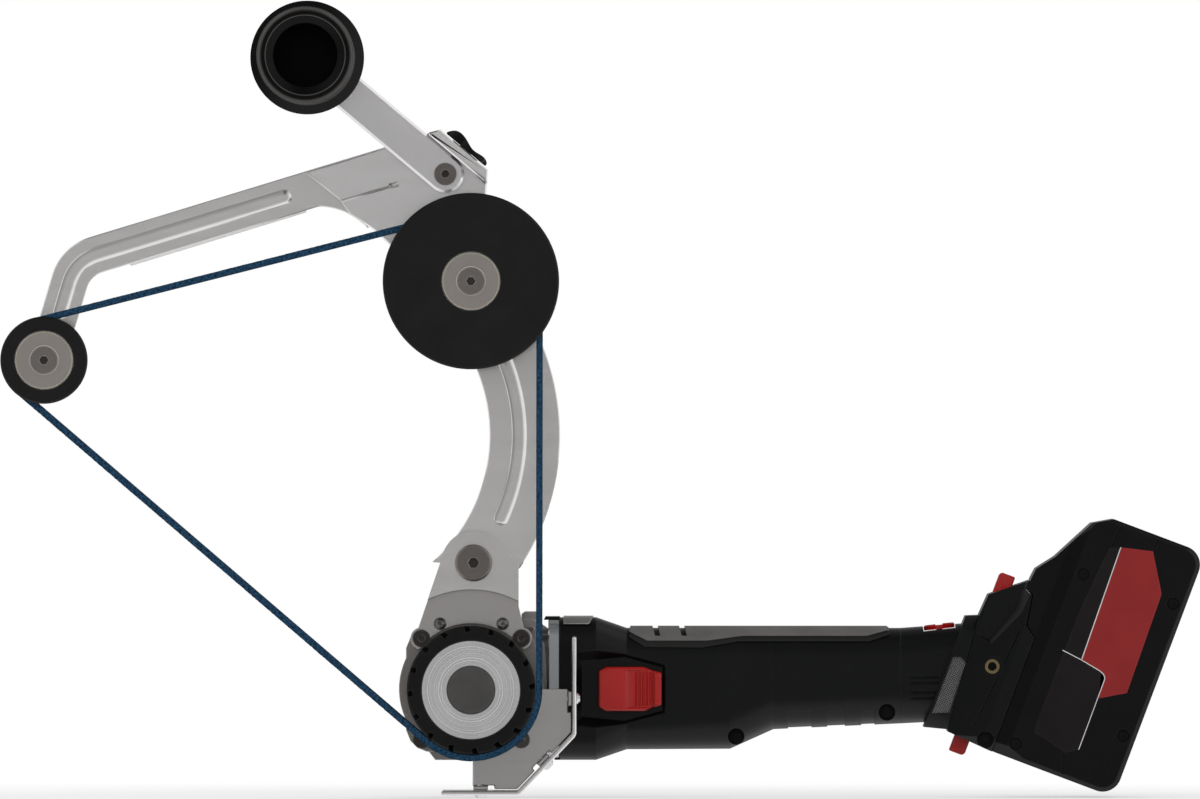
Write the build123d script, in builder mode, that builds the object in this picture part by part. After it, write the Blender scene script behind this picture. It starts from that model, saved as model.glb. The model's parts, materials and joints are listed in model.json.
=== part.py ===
from build123d import *
import os
from math import acos, atan2, cos, degrees, hypot, radians, sin, sqrt

# A cordless pipe belt sander, all sizes in millimetres.
# X runs from the tip roller to the battery, Y away from the viewer and Z up.
# Outline points are given right of and above the drive spindle's axis.
# A depth is measured towards the viewer from the motor's axis.

# Place of the spindle and motor axes, with the origin under the middle of the tool
spindle_x = -60.99
spindle_y = 54.8
spindle_z = 51.1

# Rollers and belt
drive_radius = 30.1
top_roller_radius = 30.35
tip_roller_radius = 17.1
top_roller_x = 0.0
top_roller_z = 191.4
tip_roller_x = -199.8
tip_roller_z = 154.4
belt_width = 40.0
belt_thickness = 2.8
belt_clearance = 0.3
roller_overhang = 0.5
roller_crown = 0.4
top_disc_radius = 41.3
tip_disc_radius = 20.45
disc_thickness = 3.2
axle_radius = 5.0
axle_shoulder_radius = 8.5
bearing_radius = 13.0
bearing_width = 8.0
hub_washer_radius = 13.5
hub_washer_thickness = 1.8
axle_screw_radius = 6.5
axle_screw_height = 1.8
running_clearance = 0.05
turning_gap = 0.4

# Drive roller
drive_hub_radius = 23.2
drive_cap_radius = 11.0
tyre_slot_count = 16
tyre_slot_width = 2.3
tyre_slot_floor = 26.2
tyre_slot_slant = 20.0
tyre_slot_turn = 18.3
tyre_chamfer = 0.8

# Depth layers of the bearing flange and the stamped sheet parts
gear_case_front = 28.0
gear_case_back = -36.0
flange_face = 34.0
sheet = 3.0
swing_gap = 0.3
bar_thickness = 5.0

# Pivots of the belt arm and of the handle bar
arm_pivot_x = 1.0
arm_pivot_z = 59.3
arm_pivot_radius = 5.0
arm_pivot_head_radius = 8.7
arm_pivot_head_height = 3.0
handle_pivot_x = top_roller_x - 12.2
handle_pivot_z = top_roller_z + 50.5
handle_pivot_radius = 4.0
handle_pivot_head_radius = 5.3
handle_pivot_head_height = 1.6

# Stamped arms
curved_arm_radius = 96.2
curved_arm_width = 33.2
reach_arm_width = 17.6
bead_width = 6.6
bead_height = 1.3

# Handle
handle_reach = 84.7
handle_angle = 139.9
bar_width = 17.5
grip_length = 104.0
grip_flange_radius = 26.7
grip_radius = 20.8
grip_mouth_radius = 14.9
grip_mouth_depth = 28.0
grip_stud_radius = 5.0

# Motor and gears
motor_front = 41.5
motor_flange_start = 36.1
motor_half_depth = 33.0
motor_half_height = 33.4
motor_bore = 26.0
motor_bore_end = 116.0
stator_start = 56.0
stator_end = 98.0
rotor_radius = 15.2
rotor_shaft_radius = 4.0
rotor_bearing_radius = 9.5
rotor_bearing_width = 7.0
fan_radius = 24.5
fan_blade_count = 11
crown_teeth = 37
pinion_teeth = 12
crown_radius = 22.0
gear_gap = 0.4
spindle_radius = 7.0
spindle_bearing_radius = 16.0
flange_screw_x = 23.4
flange_screw_z = 23.8
flange_screw_radius = 4.1
flange_screw_shank = 2.5
flange_round = 34.0
side_hole_radius = 3.4
side_hole_depth = 8.0

# Motor housing and grip
grip_start = 74.0
grip_end = 196.6
grip_skin = 1.0
seam_x = 201.8
pocket_floor = 27.6
slider_half_height = 10.4
slider_start = 59.8
slider_end = 89.4
slider_travel = 6.0
slider_face = 33.6

# Rear housing and battery pack, on axes tilted with the pack
pack_tilt = 20.66
pack_width = 77.0
pack_face_end = 300.2
pack_low_end = 58.9
pack_high_end = 181.2
rail_face = 239.0
foot_half_depth = 36.0
slide_clearance = 0.3
cell_radius = 10.2
cell_length = 70.0
dial_radius = 7.3
dial_x = 220.2
dial_z = 28.0
dial_height = 2.4
dial_slope = 6.5
dial_bevel = 0.6
dial_slot_half = 1.7
dial_slot_depth = 0.5
dial_pin_radius = 1.5
dial_pin_reach = 7.0
dial_room = 0.4
dial_channel_height = 6.0
insert_x = 244.7
insert_z = 10.6
insert_radius = 3.4
insert_bore = 2.1
insert_length = 8.0

# Guard
guard_sheet = 2.0
guard_side_x = 48.3
guard_floor_z = -48.3
guard_top_z = 24.9
guard_left_x = -13.8
guard_bend_z = -20.9
guard_bend_x = 22.2
guard_bolt_radius = 1.5
guard_bend_radius = 2.5

# Layers that follow from the sizes above
arm_back = flange_face + swing_gap
arm_front = arm_back + sheet
upper_back = arm_front + swing_gap
upper_front = upper_back + sheet
head_front = arm_front + sheet
bar_back = head_front + swing_gap
bar_front = bar_back + bar_thickness
belt_back = bar_front + turning_gap
belt_front = belt_back + belt_width
roller_back = belt_back - roller_overhang + 0.2
roller_front = belt_front + roller_overhang
disc_front = roller_front + disc_thickness
hub_front = disc_front + 0.3

os.makedirs("parts", exist_ok=True)


def front(depth):
    """Drawing plane facing the viewer: right is X, up is Z, origin on the spindle axis."""
    origin = (spindle_x, spindle_y - depth, spindle_z)
    return Plane(origin=origin, x_dir=(1, 0, 0), z_dir=(0, -1, 0))


def tilted(depth):
    """Drawing plane facing the viewer, turned with the pack: right is away from the tool."""
    lean = radians(pack_tilt)
    origin = (spindle_x, spindle_y - depth, spindle_z)
    return Plane(origin=origin, x_dir=(cos(lean), 0, -sin(lean)), z_dir=(0, -1, 0))


def section(x):
    """Plane across the motor axis at x: right is Y, up is Z."""
    origin = (spindle_x + x, spindle_y, spindle_z)
    return Plane(origin=origin, x_dir=(0, 1, 0), z_dir=(1, 0, 0))


def tilted_section(reach):
    """Plane across the pack's rails at one reach: right is Y, up is along the rails."""
    lean = radians(pack_tilt)
    origin = (spindle_x + reach * cos(lean), spindle_y, spindle_z - reach * sin(lean))
    return Plane(origin=origin, x_dir=(0, 1, 0), z_dir=(cos(lean), 0, -sin(lean)))


def rail_end(rise):
    """Plane across the rails' length at one rise: right is away from the tool, up is Y."""
    lean = radians(pack_tilt)
    origin = (spindle_x + rise * sin(lean), spindle_y, spindle_z + rise * cos(lean))
    return Plane(origin=origin, x_dir=(cos(lean), 0, -sin(lean)), z_dir=(sin(lean), 0, cos(lean)))


def axle_plane(x, z):
    """Plane through a line that runs towards the viewer: right is depth, up is radius."""
    origin = (spindle_x + x, spindle_y, spindle_z + z)
    return Plane(origin=origin, x_dir=(0, -1, 0), z_dir=(-1, 0, 0))


def turn(x, z, profile, mode=Mode.ADD):
    """Revolve a (depth, radius) outline about the line towards the viewer through (x, z)."""
    plane = axle_plane(x, z)
    with BuildSketch(plane) as shape:
        Polygon(*profile, align=None)
    revolve(shape.sketch, axis=Axis(plane.origin, plane.x_dir), mode=mode)


def turn_on_motor(profile, mode=Mode.ADD):
    """Revolve an (x, radius) outline about the motor's axis."""
    plane = front(0)
    with BuildSketch(plane) as shape:
        Polygon(*profile, align=None)
    revolve(shape.sketch, axis=Axis(plane.origin, plane.x_dir), mode=mode)


def post(x, z, radius, back, face, mode=Mode.ADD):
    """Round post, or hole, from one depth to another."""
    with BuildSketch(front(back)) as shape:
        with Locations((x, z)):
            Circle(radius)
    extrude(shape.sketch, amount=face - back, mode=mode)


def plate(points, back, face, mode=Mode.ADD, plane=front):
    """Flat plate, or cut-out, with straight sides between two depths."""
    with BuildSketch(plane(back)) as shape:
        Polygon(*points, align=None)
    extrude(shape.sketch, amount=face - back, mode=mode)


def ribbon(points, width):
    """Corner points of a band of one width along a line of points, mitred at its bends."""
    left_side = []
    right_side = []
    for index, (x, z) in enumerate(points):
        before = points[max(index - 1, 0)]
        after = points[min(index + 1, len(points) - 1)]
        heading_in = atan2(z - before[1], x - before[0]) if index else None
        heading_out = atan2(after[1] - z, after[0] - x) if index < len(points) - 1 else heading_in
        heading_in = heading_out if heading_in is None else heading_in
        middle = (heading_in + heading_out) / 2
        half = width / 2 / cos((heading_out - heading_in) / 2)
        left_side.append((x - half * sin(middle), z + half * cos(middle)))
        right_side.append((x + half * sin(middle), z - half * cos(middle)))
    return left_side + right_side[::-1]


def arc_centre(start, end, radius):
    """Centre of an arc of one radius through two points, on the left of the way up."""
    rise = hypot(end[0] - start[0], end[1] - start[1])
    heading = atan2(end[1] - start[1], end[0] - start[0])
    set_back = sqrt(radius**2 - (rise / 2) ** 2)
    middle_x = (start[0] + end[0]) / 2
    middle_z = (start[1] + end[1]) / 2
    return middle_x - set_back * sin(heading), middle_z + set_back * cos(heading)


def finish(piece, label):
    """Name a finished piece and write it."""
    piece.part.label = label
    export_step(piece.part, f"parts/{label}.step")


# Gear head: bevelled die-cast case, closed in front by the bearing flange
gear_case_top = 33.0
gear_case_low = -33.4
gear_case_outline = [
    (-30.5, 14.0),
    (-19.0, gear_case_top),
    (29.0, gear_case_top),
    (motor_flange_start, 28.0),
    (motor_flange_start, -30.0),
    (29.0, gear_case_low),
    (-17.0, gear_case_low),
    (-30.5, -16.0),
]
gear_case_chamfer = 9.0
gear_cavity_radius = crown_radius + 2
gear_cavity_back = -22.0
needle_bearing_back = -30.0
needle_bearing_radius = 10.0
handle_hole_depth = -6.0
bolt_notch = 22.0
bolt_notch_end = 40.0
bolt_notch_start = 30.6
gear_bolt_offset = 25.5
gear_bolt_head = 2.9
gear_bolt_shank = 2.0
seam_floor = 20.0
cover_screw = (27.9, 27.9)
cover_screw_radius = 1.8
cover_screw_shank = 1.0
cover_screw_height = 1.6
cover_screw_reach = 6.0
lock_x = -17.0
lock_radius = 4.0

with BuildPart() as gear_housing:
    plate(gear_case_outline, gear_case_back, gear_case_front)
    chamfer(gear_housing.faces().sort_by(Axis.Y)[-1].edges(), gear_case_chamfer)
    plate([(23.5, 32), (23.5, 35), (25, 36.2), (31, 36.2), (33, 29)], -12, 22)
    post(0, 0, gear_cavity_radius, gear_cavity_back, gear_case_front, Mode.SUBTRACT)
    post(0, 0, needle_bearing_radius, needle_bearing_back, gear_cavity_back, Mode.SUBTRACT)
    post(lock_x, 0, lock_radius + 0.2, gear_case_back, gear_cavity_back, Mode.SUBTRACT)
    with BuildSketch(section(0)):
        Circle(rotor_bearing_radius + 3)
    extrude(amount=motor_flange_start, mode=Mode.SUBTRACT)
    for level in (1, -1):
        for near in (bolt_notch, -bolt_notch_end):
            notch = [
                (bolt_notch_start, level * bolt_notch),
                (motor_flange_start, level * bolt_notch),
                (motor_flange_start, level * bolt_notch_end),
                (bolt_notch_start, level * bolt_notch_end),
            ]
            plate(notch, near, near + bolt_notch_end - bolt_notch, Mode.SUBTRACT)
    seam = [
        (motor_flange_start, bolt_notch),
        (motor_flange_start - 1.8, bolt_notch),
        (motor_flange_start - 0.8, bolt_notch / 2),
        (motor_flange_start - 0.5, 0),
        (motor_flange_start - 0.8, -bolt_notch / 2),
        (motor_flange_start - 1.8, -bolt_notch),
        (motor_flange_start, -bolt_notch),
    ]
    plate(seam, seam_floor, gear_case_front, Mode.SUBTRACT)
    post(*cover_screw, cover_screw_shank, gear_case_front - cover_screw_reach, gear_case_front, Mode.SUBTRACT)
    with Locations(front(handle_hole_depth)):
        for level in (gear_case_top, gear_case_low):
            with Locations(Location((0, level, 0), (90, 0, 0))):
                Cylinder(side_hole_radius, 2 * side_hole_depth, mode=Mode.SUBTRACT)
finish(gear_housing, "gear_housing")

# Bearing flange: round collar with four angular screw ears and a seal boss
ear_corner = [(30.7, 19.3), (28.6, 24.4), (25.4, 27.6), (21.0, 29.4)]
ear_upper_half = ear_corner + [(-x, z) for x, z in reversed(ear_corner)]
ear_outline = ear_upper_half + [(-x, -z) for x, z in ear_upper_half]
seal_boss_radius = 21.0
seal_boss_front = 40.0
flange_screw_places = [
    (flange_screw_x * side, flange_screw_z * level) for side in (-1, 1) for level in (-1, 1)
]
spindle_bearing_front = 37.0
spindle_bearing_back = gear_case_front - 1

with BuildPart() as bearing_flange:
    with BuildSketch(front(gear_case_front)):
        Circle(flange_round)
        Polygon(*ear_outline, align=None)
    extrude(amount=flange_face - gear_case_front)
    post(0, 0, seal_boss_radius, flange_face, seal_boss_front)
    post(0, 0, spindle_bearing_radius, gear_case_front, spindle_bearing_front, Mode.SUBTRACT)
    post(0, 0, spindle_radius + 2, spindle_bearing_front, seal_boss_front, Mode.SUBTRACT)
    for x, z in flange_screw_places:
        post(x, z, flange_screw_shank, gear_case_front, flange_face, Mode.SUBTRACT)
finish(bearing_flange, "bearing_flange")

with BuildPart() as motor_flange:
    with BuildSketch(section(motor_flange_start)):
        RectangleRounded(2 * motor_half_depth - 1, 2 * motor_half_height - 2, 9)
    extrude(amount=motor_front - motor_flange_start)
    turn_on_motor(
        [
            (motor_flange_start, 0),
            (motor_flange_start, rotor_bearing_radius),
            (motor_front, rotor_bearing_radius),
            (motor_front, 0),
        ],
        Mode.SUBTRACT,
    )
    with BuildSketch(section(motor_flange_start)):
        with GridLocations(2 * gear_bolt_offset, 2 * gear_bolt_offset, 2, 2):
            Circle(gear_bolt_shank + running_clearance)
    extrude(amount=motor_front - motor_flange_start, mode=Mode.SUBTRACT)
finish(motor_flange, "motor_flange")

# Motor housing: sections along the motor as (x, top, bottom, half depth, corner radius)
handle_top = 28.4
housing_stations = [
    (motor_front, motor_half_height, -motor_half_height, motor_half_depth, 11),
    (58.5, motor_half_height, -motor_half_height, motor_half_depth, 11),
    (73.0, handle_top, -28.5, 29.2, 13),
    (121.5, handle_top, -28.3, 29.2, 16),
    (142.0, handle_top, -19.1, 27.0, 16),
    (seam_x, handle_top, -16.4, 26.0, 16),
]



def housing_shell(grow):
    """Motor housing lofted through its sections, grown outwards or shrunk by one amount."""
    sections = []
    for x, top, bottom, half_depth, corner in housing_stations:
        with BuildSketch(section(x)) as shape:
            with Locations((0, (top + bottom) / 2)):
                RectangleRounded(2 * (half_depth + grow), top - bottom + 2 * grow, corner + grow)
        sections.append(shape.sketch)
    loft(sections, ruled=True)


with BuildPart() as housing_outer:
    housing_shell(0)

# Finger recesses round the underside of the handle, as a skin to be taken off
recess_depth = 0.5
recess_top = -10.4
recess_spans = [(148.8, 160.0), (167.3, 175.7), (183.3, 189.6)]
with BuildPart() as housing_core:
    housing_shell(-recess_depth)

with BuildPart() as finger_recesses:
    for start, end in recess_spans:
        low = -motor_half_height
        span = [(start, recess_top), (end, recess_top), (end, low), (start, low)]
        plate(span, -motor_half_depth, motor_half_depth)
    add(housing_core.part, mode=Mode.SUBTRACT)

# Hollow inside: motor bore, rear bearing seat, electronics bay, switch pocket and screw wells
rear_bearing_start = 118.0
bay_start = 146.0
bay_end = seam_x - 11.8
bay_half_depth = 19.0
bay_low = -9.0
bay_high = 22.0
pocket_margin = 1.8
pocket_end_gap = 0.35
pocket_points = [
    (slider_start - slider_travel - pocket_margin, slider_half_height + 2.6),
    (71.8, slider_half_height + 4.6),
    (slider_end + pocket_end_gap, slider_half_height - 0.2),
]
pocket_outline = pocket_points + [(x, -z) for x, z in reversed(pocket_points)]
pocket_flare = -40
housing_screw_places = [(124.4, -22.4, 16.0), (195.3, -11.0, 13.0)]
screw_well_radius = 3.9
screw_head_radius = 3.1
screw_head_height = 2.2
screw_shank_radius = 1.6
screw_socket = 1.6
screw_shank_reach = 14.0
lip_half_depth = 22.0
lip_rise = 0.5

with BuildPart() as housing_hollow:
    add(housing_outer.part)
    add(finger_recesses.part, mode=Mode.SUBTRACT)
    lip_low = motor_half_height - 1
    lip_high = motor_half_height + lip_rise
    upper_lip = [(34.0, lip_low), (34.8, lip_high), (motor_front, lip_high), (motor_front, lip_low)]
    plate(upper_lip, -lip_half_depth, lip_half_depth)
    lower_lip = [
        (39.0, -lip_low),
        (39.0, -motor_half_height),
        (motor_front, -motor_half_height),
        (motor_front, -lip_low),
    ]
    plate(lower_lip, -lip_half_depth, lip_half_depth)
    turn_on_motor(
        [
            (motor_front, 0),
            (motor_front, motor_bore),
            (motor_bore_end, motor_bore),
            (motor_bore_end, rotor_bearing_radius),
            (rear_bearing_start + rotor_bearing_width, rotor_bearing_radius),
            (rear_bearing_start + rotor_bearing_width, rotor_shaft_radius + 1),
            (rear_bearing_start + rotor_bearing_width + 4, rotor_shaft_radius + 1),
            (rear_bearing_start + rotor_bearing_width + 4, 0),
        ],
        Mode.SUBTRACT,
    )
    bay = [(bay_start, bay_low), (bay_end, bay_low), (bay_end, bay_high), (bay_start, bay_high)]
    plate(bay, -bay_half_depth, bay_half_depth, Mode.SUBTRACT)
    with BuildSketch(front(pocket_floor)) as pocket:
        Polygon(*pocket_outline, align=None)
    extrude(pocket.sketch, amount=12, taper=pocket_flare, mode=Mode.SUBTRACT)
    for x, z, floor in housing_screw_places:
        post(x, z, screw_well_radius, floor, motor_half_depth, Mode.SUBTRACT)
        post(x, z, screw_shank_radius + running_clearance, -screw_shank_reach, floor, Mode.SUBTRACT)

with BuildPart() as motor_housing_near:
    add(housing_hollow.part)
    split(bisect_by=front(0), keep=Keep.TOP)
finish(motor_housing_near, "motor_housing_near")

with BuildPart() as motor_housing_far:
    add(housing_hollow.part)
    split(bisect_by=front(0), keep=Keep.BOTTOM)
finish(motor_housing_far, "motor_housing_far")

# Soft grip: a rubber saddle over the top of the handle, thinner along its lower lip
grip_edge = [
    (grip_start, 24.4),
    (81.4, 19.7),
    (108.6, 19.4),
    (125.1, 22.3),
    (187.0, 22.3),
    (grip_end, 25.5),
]
grip_ridge = [
    (grip_start, 27.0),
    (82.7, 22.7),
    (110.6, 22.7),
    (127.1, 24.9),
    (186.0, 24.9),
    (grip_end - 1, 27.5),
]
grip_lip_skin = 0.5
grip_roof = 40.0
grip_tick_places = [82.3, 94.8]
grip_tick_width = 2.4
grip_tick_lean = 4.0

grip_top = [(grip_end - 2, grip_roof), (grip_start + 4, grip_roof)]

with BuildPart() as grip_crown:
    housing_shell(grip_skin)
    plate(grip_ridge + grip_top, -motor_half_depth - 5, motor_half_depth + 5, Mode.INTERSECT)

with BuildPart() as soft_grip:
    housing_shell(grip_lip_skin)
    plate(grip_edge + grip_top, -motor_half_depth - 5, motor_half_depth + 5, Mode.INTERSECT)
    add(grip_crown.part)
    add(housing_outer.part, mode=Mode.SUBTRACT)
    for x in grip_tick_places:
        tick = [
            (x, grip_roof),
            (x + grip_tick_width, grip_roof),
            (x + grip_tick_width + grip_tick_lean, 25.0),
            (x + grip_tick_lean, 25.0),
        ]
        plate(tick, -motor_half_depth, motor_half_depth, Mode.SUBTRACT)
finish(soft_grip, "soft_grip")

# Light cover: a thin saddle over the top corners of the motor housing
cover_skin = 0.7
cover_low = 30.5
cover_start = 43.2
cover_end = 58.0
cover_end_lean = 2.8
with BuildPart() as cover_plate:
    housing_shell(cover_skin)
    band = [
        (cover_start, cover_low),
        (cover_end - cover_end_lean, cover_low),
        (cover_end, motor_half_height + cover_skin + 1),
        (cover_start, motor_half_height + cover_skin + 1),
    ]
    plate(band, -motor_half_depth - 1, motor_half_depth + 1, Mode.INTERSECT)
    add(housing_outer.part, mode=Mode.SUBTRACT)
finish(cover_plate, "cover_plate")

# Motor: stator in the housing, rotor with pinion and fan on its shaft
pinion_slope = pinion_teeth / crown_teeth
pinion_start = 13.0
pinion_tooth_depth = 1.5
pinion_tooth_gap = 1.5
rotor_shaft_start = 12.5
rotor_shaft_end = 127.0
fan_start = 102.0
fan_width = 9.0
fan_hub_radius = 9.0
fan_blade = 1.6
rotor_gap = 0.6

with BuildPart() as motor_stator:
    turn_on_motor(
        [
            (stator_start, rotor_radius + rotor_gap),
            (stator_start, motor_bore - running_clearance),
            (stator_end, motor_bore - running_clearance),
            (stator_end, rotor_radius + rotor_gap),
        ]
    )
finish(motor_stator, "motor_stator")

with BuildPart() as pinion_shaft:
    turn_on_motor(
        [
            (rotor_shaft_start, 0),
            (rotor_shaft_start, rotor_shaft_radius),
            (pinion_start, rotor_shaft_radius),
            (pinion_start, pinion_start * pinion_slope + 0.8),
            (crown_radius, crown_radius * pinion_slope),
            (crown_radius + 6, crown_radius * pinion_slope),
            (crown_radius + 6, rotor_shaft_radius),
            (rotor_shaft_end, rotor_shaft_radius),
            (rotor_shaft_end, 0),
        ]
    )
    with BuildSketch(section(pinion_start)):
        with PolarLocations(crown_radius * pinion_slope, pinion_teeth):
            Rectangle(2 * pinion_tooth_depth, pinion_tooth_gap)
    extrude(amount=crown_radius - pinion_start, mode=Mode.SUBTRACT)
finish(pinion_shaft, "pinion_shaft")

with BuildPart() as rotor_core:
    turn_on_motor(
        [
            (stator_start, rotor_shaft_radius),
            (stator_start, rotor_radius),
            (stator_end, rotor_radius),
            (stator_end, rotor_shaft_radius),
        ]
    )
finish(rotor_core, "rotor_core")

with BuildPart() as cooling_fan:
    turn_on_motor(
        [
            (fan_start, rotor_shaft_radius),
            (fan_start, fan_hub_radius),
            (fan_start + fan_width, fan_hub_radius),
            (fan_start + fan_width, rotor_shaft_radius),
        ]
    )
    with BuildSketch(section(fan_start)):
        with PolarLocations((fan_hub_radius + fan_radius) / 2 - 0.5, fan_blade_count):
            Rectangle(fan_radius - fan_hub_radius + 1, fan_blade)
    extrude(amount=fan_width)
finish(cooling_fan, "cooling_fan")

# Bearings of the motor and the spindle, then the spindle and its crown gear
spindle_collar_radius = 12.0
spindle_end = roller_front - 8
crown_inner = 14.0
crown_hub_radius = 11.0
crown_back = spindle_bearing_back - 0.6
crown_tooth_floor = 1.6

with BuildPart() as gear_bearings:
    for start in (motor_flange_start, rear_bearing_start):
        turn_on_motor(
            [
                (start, rotor_shaft_radius + running_clearance),
                (start, rotor_bearing_radius - running_clearance),
                (start + rotor_bearing_width, rotor_bearing_radius - running_clearance),
                (start + rotor_bearing_width, rotor_shaft_radius + running_clearance),
            ]
        )
    for back, face, radius in (
        (needle_bearing_back, gear_cavity_back, needle_bearing_radius),
        (spindle_bearing_back, spindle_bearing_front, spindle_bearing_radius),
    ):
        turn(
            0,
            0,
            [
                (back, spindle_radius + running_clearance),
                (back, radius - running_clearance),
                (face, radius - running_clearance),
                (face, spindle_radius + running_clearance),
            ],
        )
finish(gear_bearings, "gear_bearings")

with BuildPart() as spindle:
    turn(
        0,
        0,
        [
            (needle_bearing_back + turning_gap, 0),
            (needle_bearing_back + turning_gap, spindle_radius),
            (seal_boss_front + turning_gap, spindle_radius),
            (seal_boss_front + turning_gap, spindle_collar_radius),
            (roller_back, spindle_collar_radius),
            (roller_back, spindle_radius),
            (spindle_end, spindle_radius),
            (spindle_end, 0),
        ],
    )
finish(spindle, "spindle")

with BuildPart() as crown_gear:
    turn(
        0,
        0,
        [
            (crown_inner * pinion_slope + 2 * gear_gap, spindle_radius),
            (crown_inner * pinion_slope + 2 * gear_gap, crown_inner),
            (crown_radius * pinion_slope + 2 * gear_gap, crown_radius),
            (crown_radius * pinion_slope + 7, crown_radius),
            (crown_radius * pinion_slope + 11, crown_hub_radius),
            (crown_back, crown_hub_radius),
            (crown_back, spindle_radius),
        ],
    )
    with BuildSketch(front(0)):
        with PolarLocations((crown_inner + crown_radius) / 2 + 0.5, crown_teeth):
            Rectangle(crown_radius - crown_inner + 1, 1.3)
    extrude(amount=crown_radius * pinion_slope + crown_tooth_floor, mode=Mode.SUBTRACT)
finish(crown_gear, "crown_gear")

# Drive roller: turned hub, rubber tyre with slanted grooves and flat cap
cap_recess = 4.0
cap_rise = 0.6
bore_chamfer = 0.5
roller_middle = (roller_back + roller_front) / 2
slant = radians(tyre_slot_slant)
groove_plane = Plane(
    origin=(spindle_x, spindle_y - roller_middle, spindle_z + tyre_slot_floor),
    x_dir=(cos(slant), sin(slant), 0),
    z_dir=(sin(slant), -cos(slant), 0),
)
spindle_line = Axis((spindle_x, spindle_y, spindle_z), (0, -1, 0))

with BuildPart() as drive_hub:
    post(0, 0, drive_hub_radius, roller_back, roller_front)
    post(0, 0, spindle_radius, roller_back, spindle_end, Mode.SUBTRACT)
    turn(
        0,
        0,
        [
            (roller_front - cap_recess, 0),
            (roller_front - cap_recess, drive_cap_radius),
            (roller_front - bore_chamfer, drive_cap_radius),
            (roller_front, drive_cap_radius + bore_chamfer),
            (roller_front, 0),
        ],
        Mode.SUBTRACT,
    )
finish(drive_hub, "drive_hub")

with BuildPart() as tyre_groove:
    with BuildSketch(groove_plane):
        Rectangle(tyre_slot_width, 2 * (drive_radius - tyre_slot_floor), align=(Align.CENTER, Align.MIN))
    extrude(amount=roller_front - roller_back, both=True)

tyre_groove_turns = [tyre_slot_turn - 90 + index * 360 / tyre_slot_count for index in range(tyre_slot_count)]
tyre_grooves = [tyre_groove.part.rotate(spindle_line, angle) for angle in tyre_groove_turns]

with BuildPart() as drive_tyre:
    turn(
        0,
        0,
        [
            (roller_back, drive_hub_radius),
            (roller_back, drive_radius - tyre_chamfer),
            (roller_back + tyre_chamfer, drive_radius),
            (roller_front - tyre_chamfer, drive_radius),
            (roller_front, drive_radius - tyre_chamfer),
            (roller_front, drive_hub_radius),
        ],
    )
    add(tyre_grooves, mode=Mode.SUBTRACT)
finish(drive_tyre, "drive_tyre")

with BuildPart() as drive_cap:
    post(0, 0, drive_cap_radius, roller_front - cap_recess, roller_front + cap_rise)
    chamfer(drive_cap.faces().sort_by(Axis.Y)[0].edges(), cap_rise)
finish(drive_cap, "drive_cap")

# Spindle lock: button on the back of the gear head with a pin towards the crown gear
lock_rise = 4.0
lock_pin_radius = 2.5
lock_pin_front = 2.2
with BuildPart() as spindle_lock:
    post(lock_x, 0, lock_radius, gear_case_back - lock_rise, gear_cavity_back - 1)
    chamfer(spindle_lock.faces().sort_by(Axis.Y)[-1].edges(), 0.8)
    post(lock_x, 0, lock_pin_radius, gear_cavity_back - 1, lock_pin_front)
finish(spindle_lock, "spindle_lock")

# Slide switch in its pocket, scooped out and ribbed where the thumb pushes
slider_front_corner = 3.4
slider_front_drop = 2.0
slider_rear_corner = 8.3
slider_rear_drop = 2.9
scoop_start = 72.6
scoop_low = 74.6
scoop_end = 88.4
scoop_depth = 1.8
scoop_half = 8.8
slider_rib_start = 77.0
slider_rib_pitch = 1.7
slider_rib_count = 6
slider_rib_width = 0.7
slider_rib_height = 0.35


def scoop_floor(x):
    """Depth of the thumb rest's sloping floor at one place along the slider."""
    return slider_face - scoop_depth * (scoop_end - x) / (scoop_end - scoop_low)


with BuildPart() as slide_switch:
    plate(
        [
            (slider_start, slider_half_height - slider_front_drop),
            (slider_start + slider_front_corner, slider_half_height),
            (slider_end - slider_rear_corner, slider_half_height),
            (slider_end, slider_half_height - slider_rear_drop),
            (slider_end, slider_rear_drop - slider_half_height),
            (slider_end - slider_rear_corner, -slider_half_height),
            (slider_start + slider_front_corner, -slider_half_height),
            (slider_start, slider_front_drop - slider_half_height),
        ],
        pocket_floor + slide_clearance,
        slider_face,
    )
    chamfer(slide_switch.faces().sort_by(Axis.Y)[0].edges(), 0.8)
    scoop_origin = (spindle_x, spindle_y, spindle_z - scoop_half)
    with BuildSketch(Plane(origin=scoop_origin, x_dir=(1, 0, 0), z_dir=(0, 0, 1))):
        Polygon(
            (scoop_start, -slider_face),
            (scoop_low, -scoop_floor(scoop_low)),
            (scoop_end, -slider_face),
            align=None,
        )
    extrude(amount=2 * scoop_half, mode=Mode.SUBTRACT)
    for index in range(slider_rib_count):
        x = slider_rib_start + index * slider_rib_pitch
        rib_half = scoop_half - 1
        rib = [
            (x, -rib_half),
            (x + slider_rib_width, -rib_half),
            (x + slider_rib_width, rib_half),
            (x, rib_half),
        ]
        plate(rib, scoop_floor(scoop_low), scoop_floor(x) + slider_rib_height)
finish(slide_switch, "slide_switch")

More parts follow.
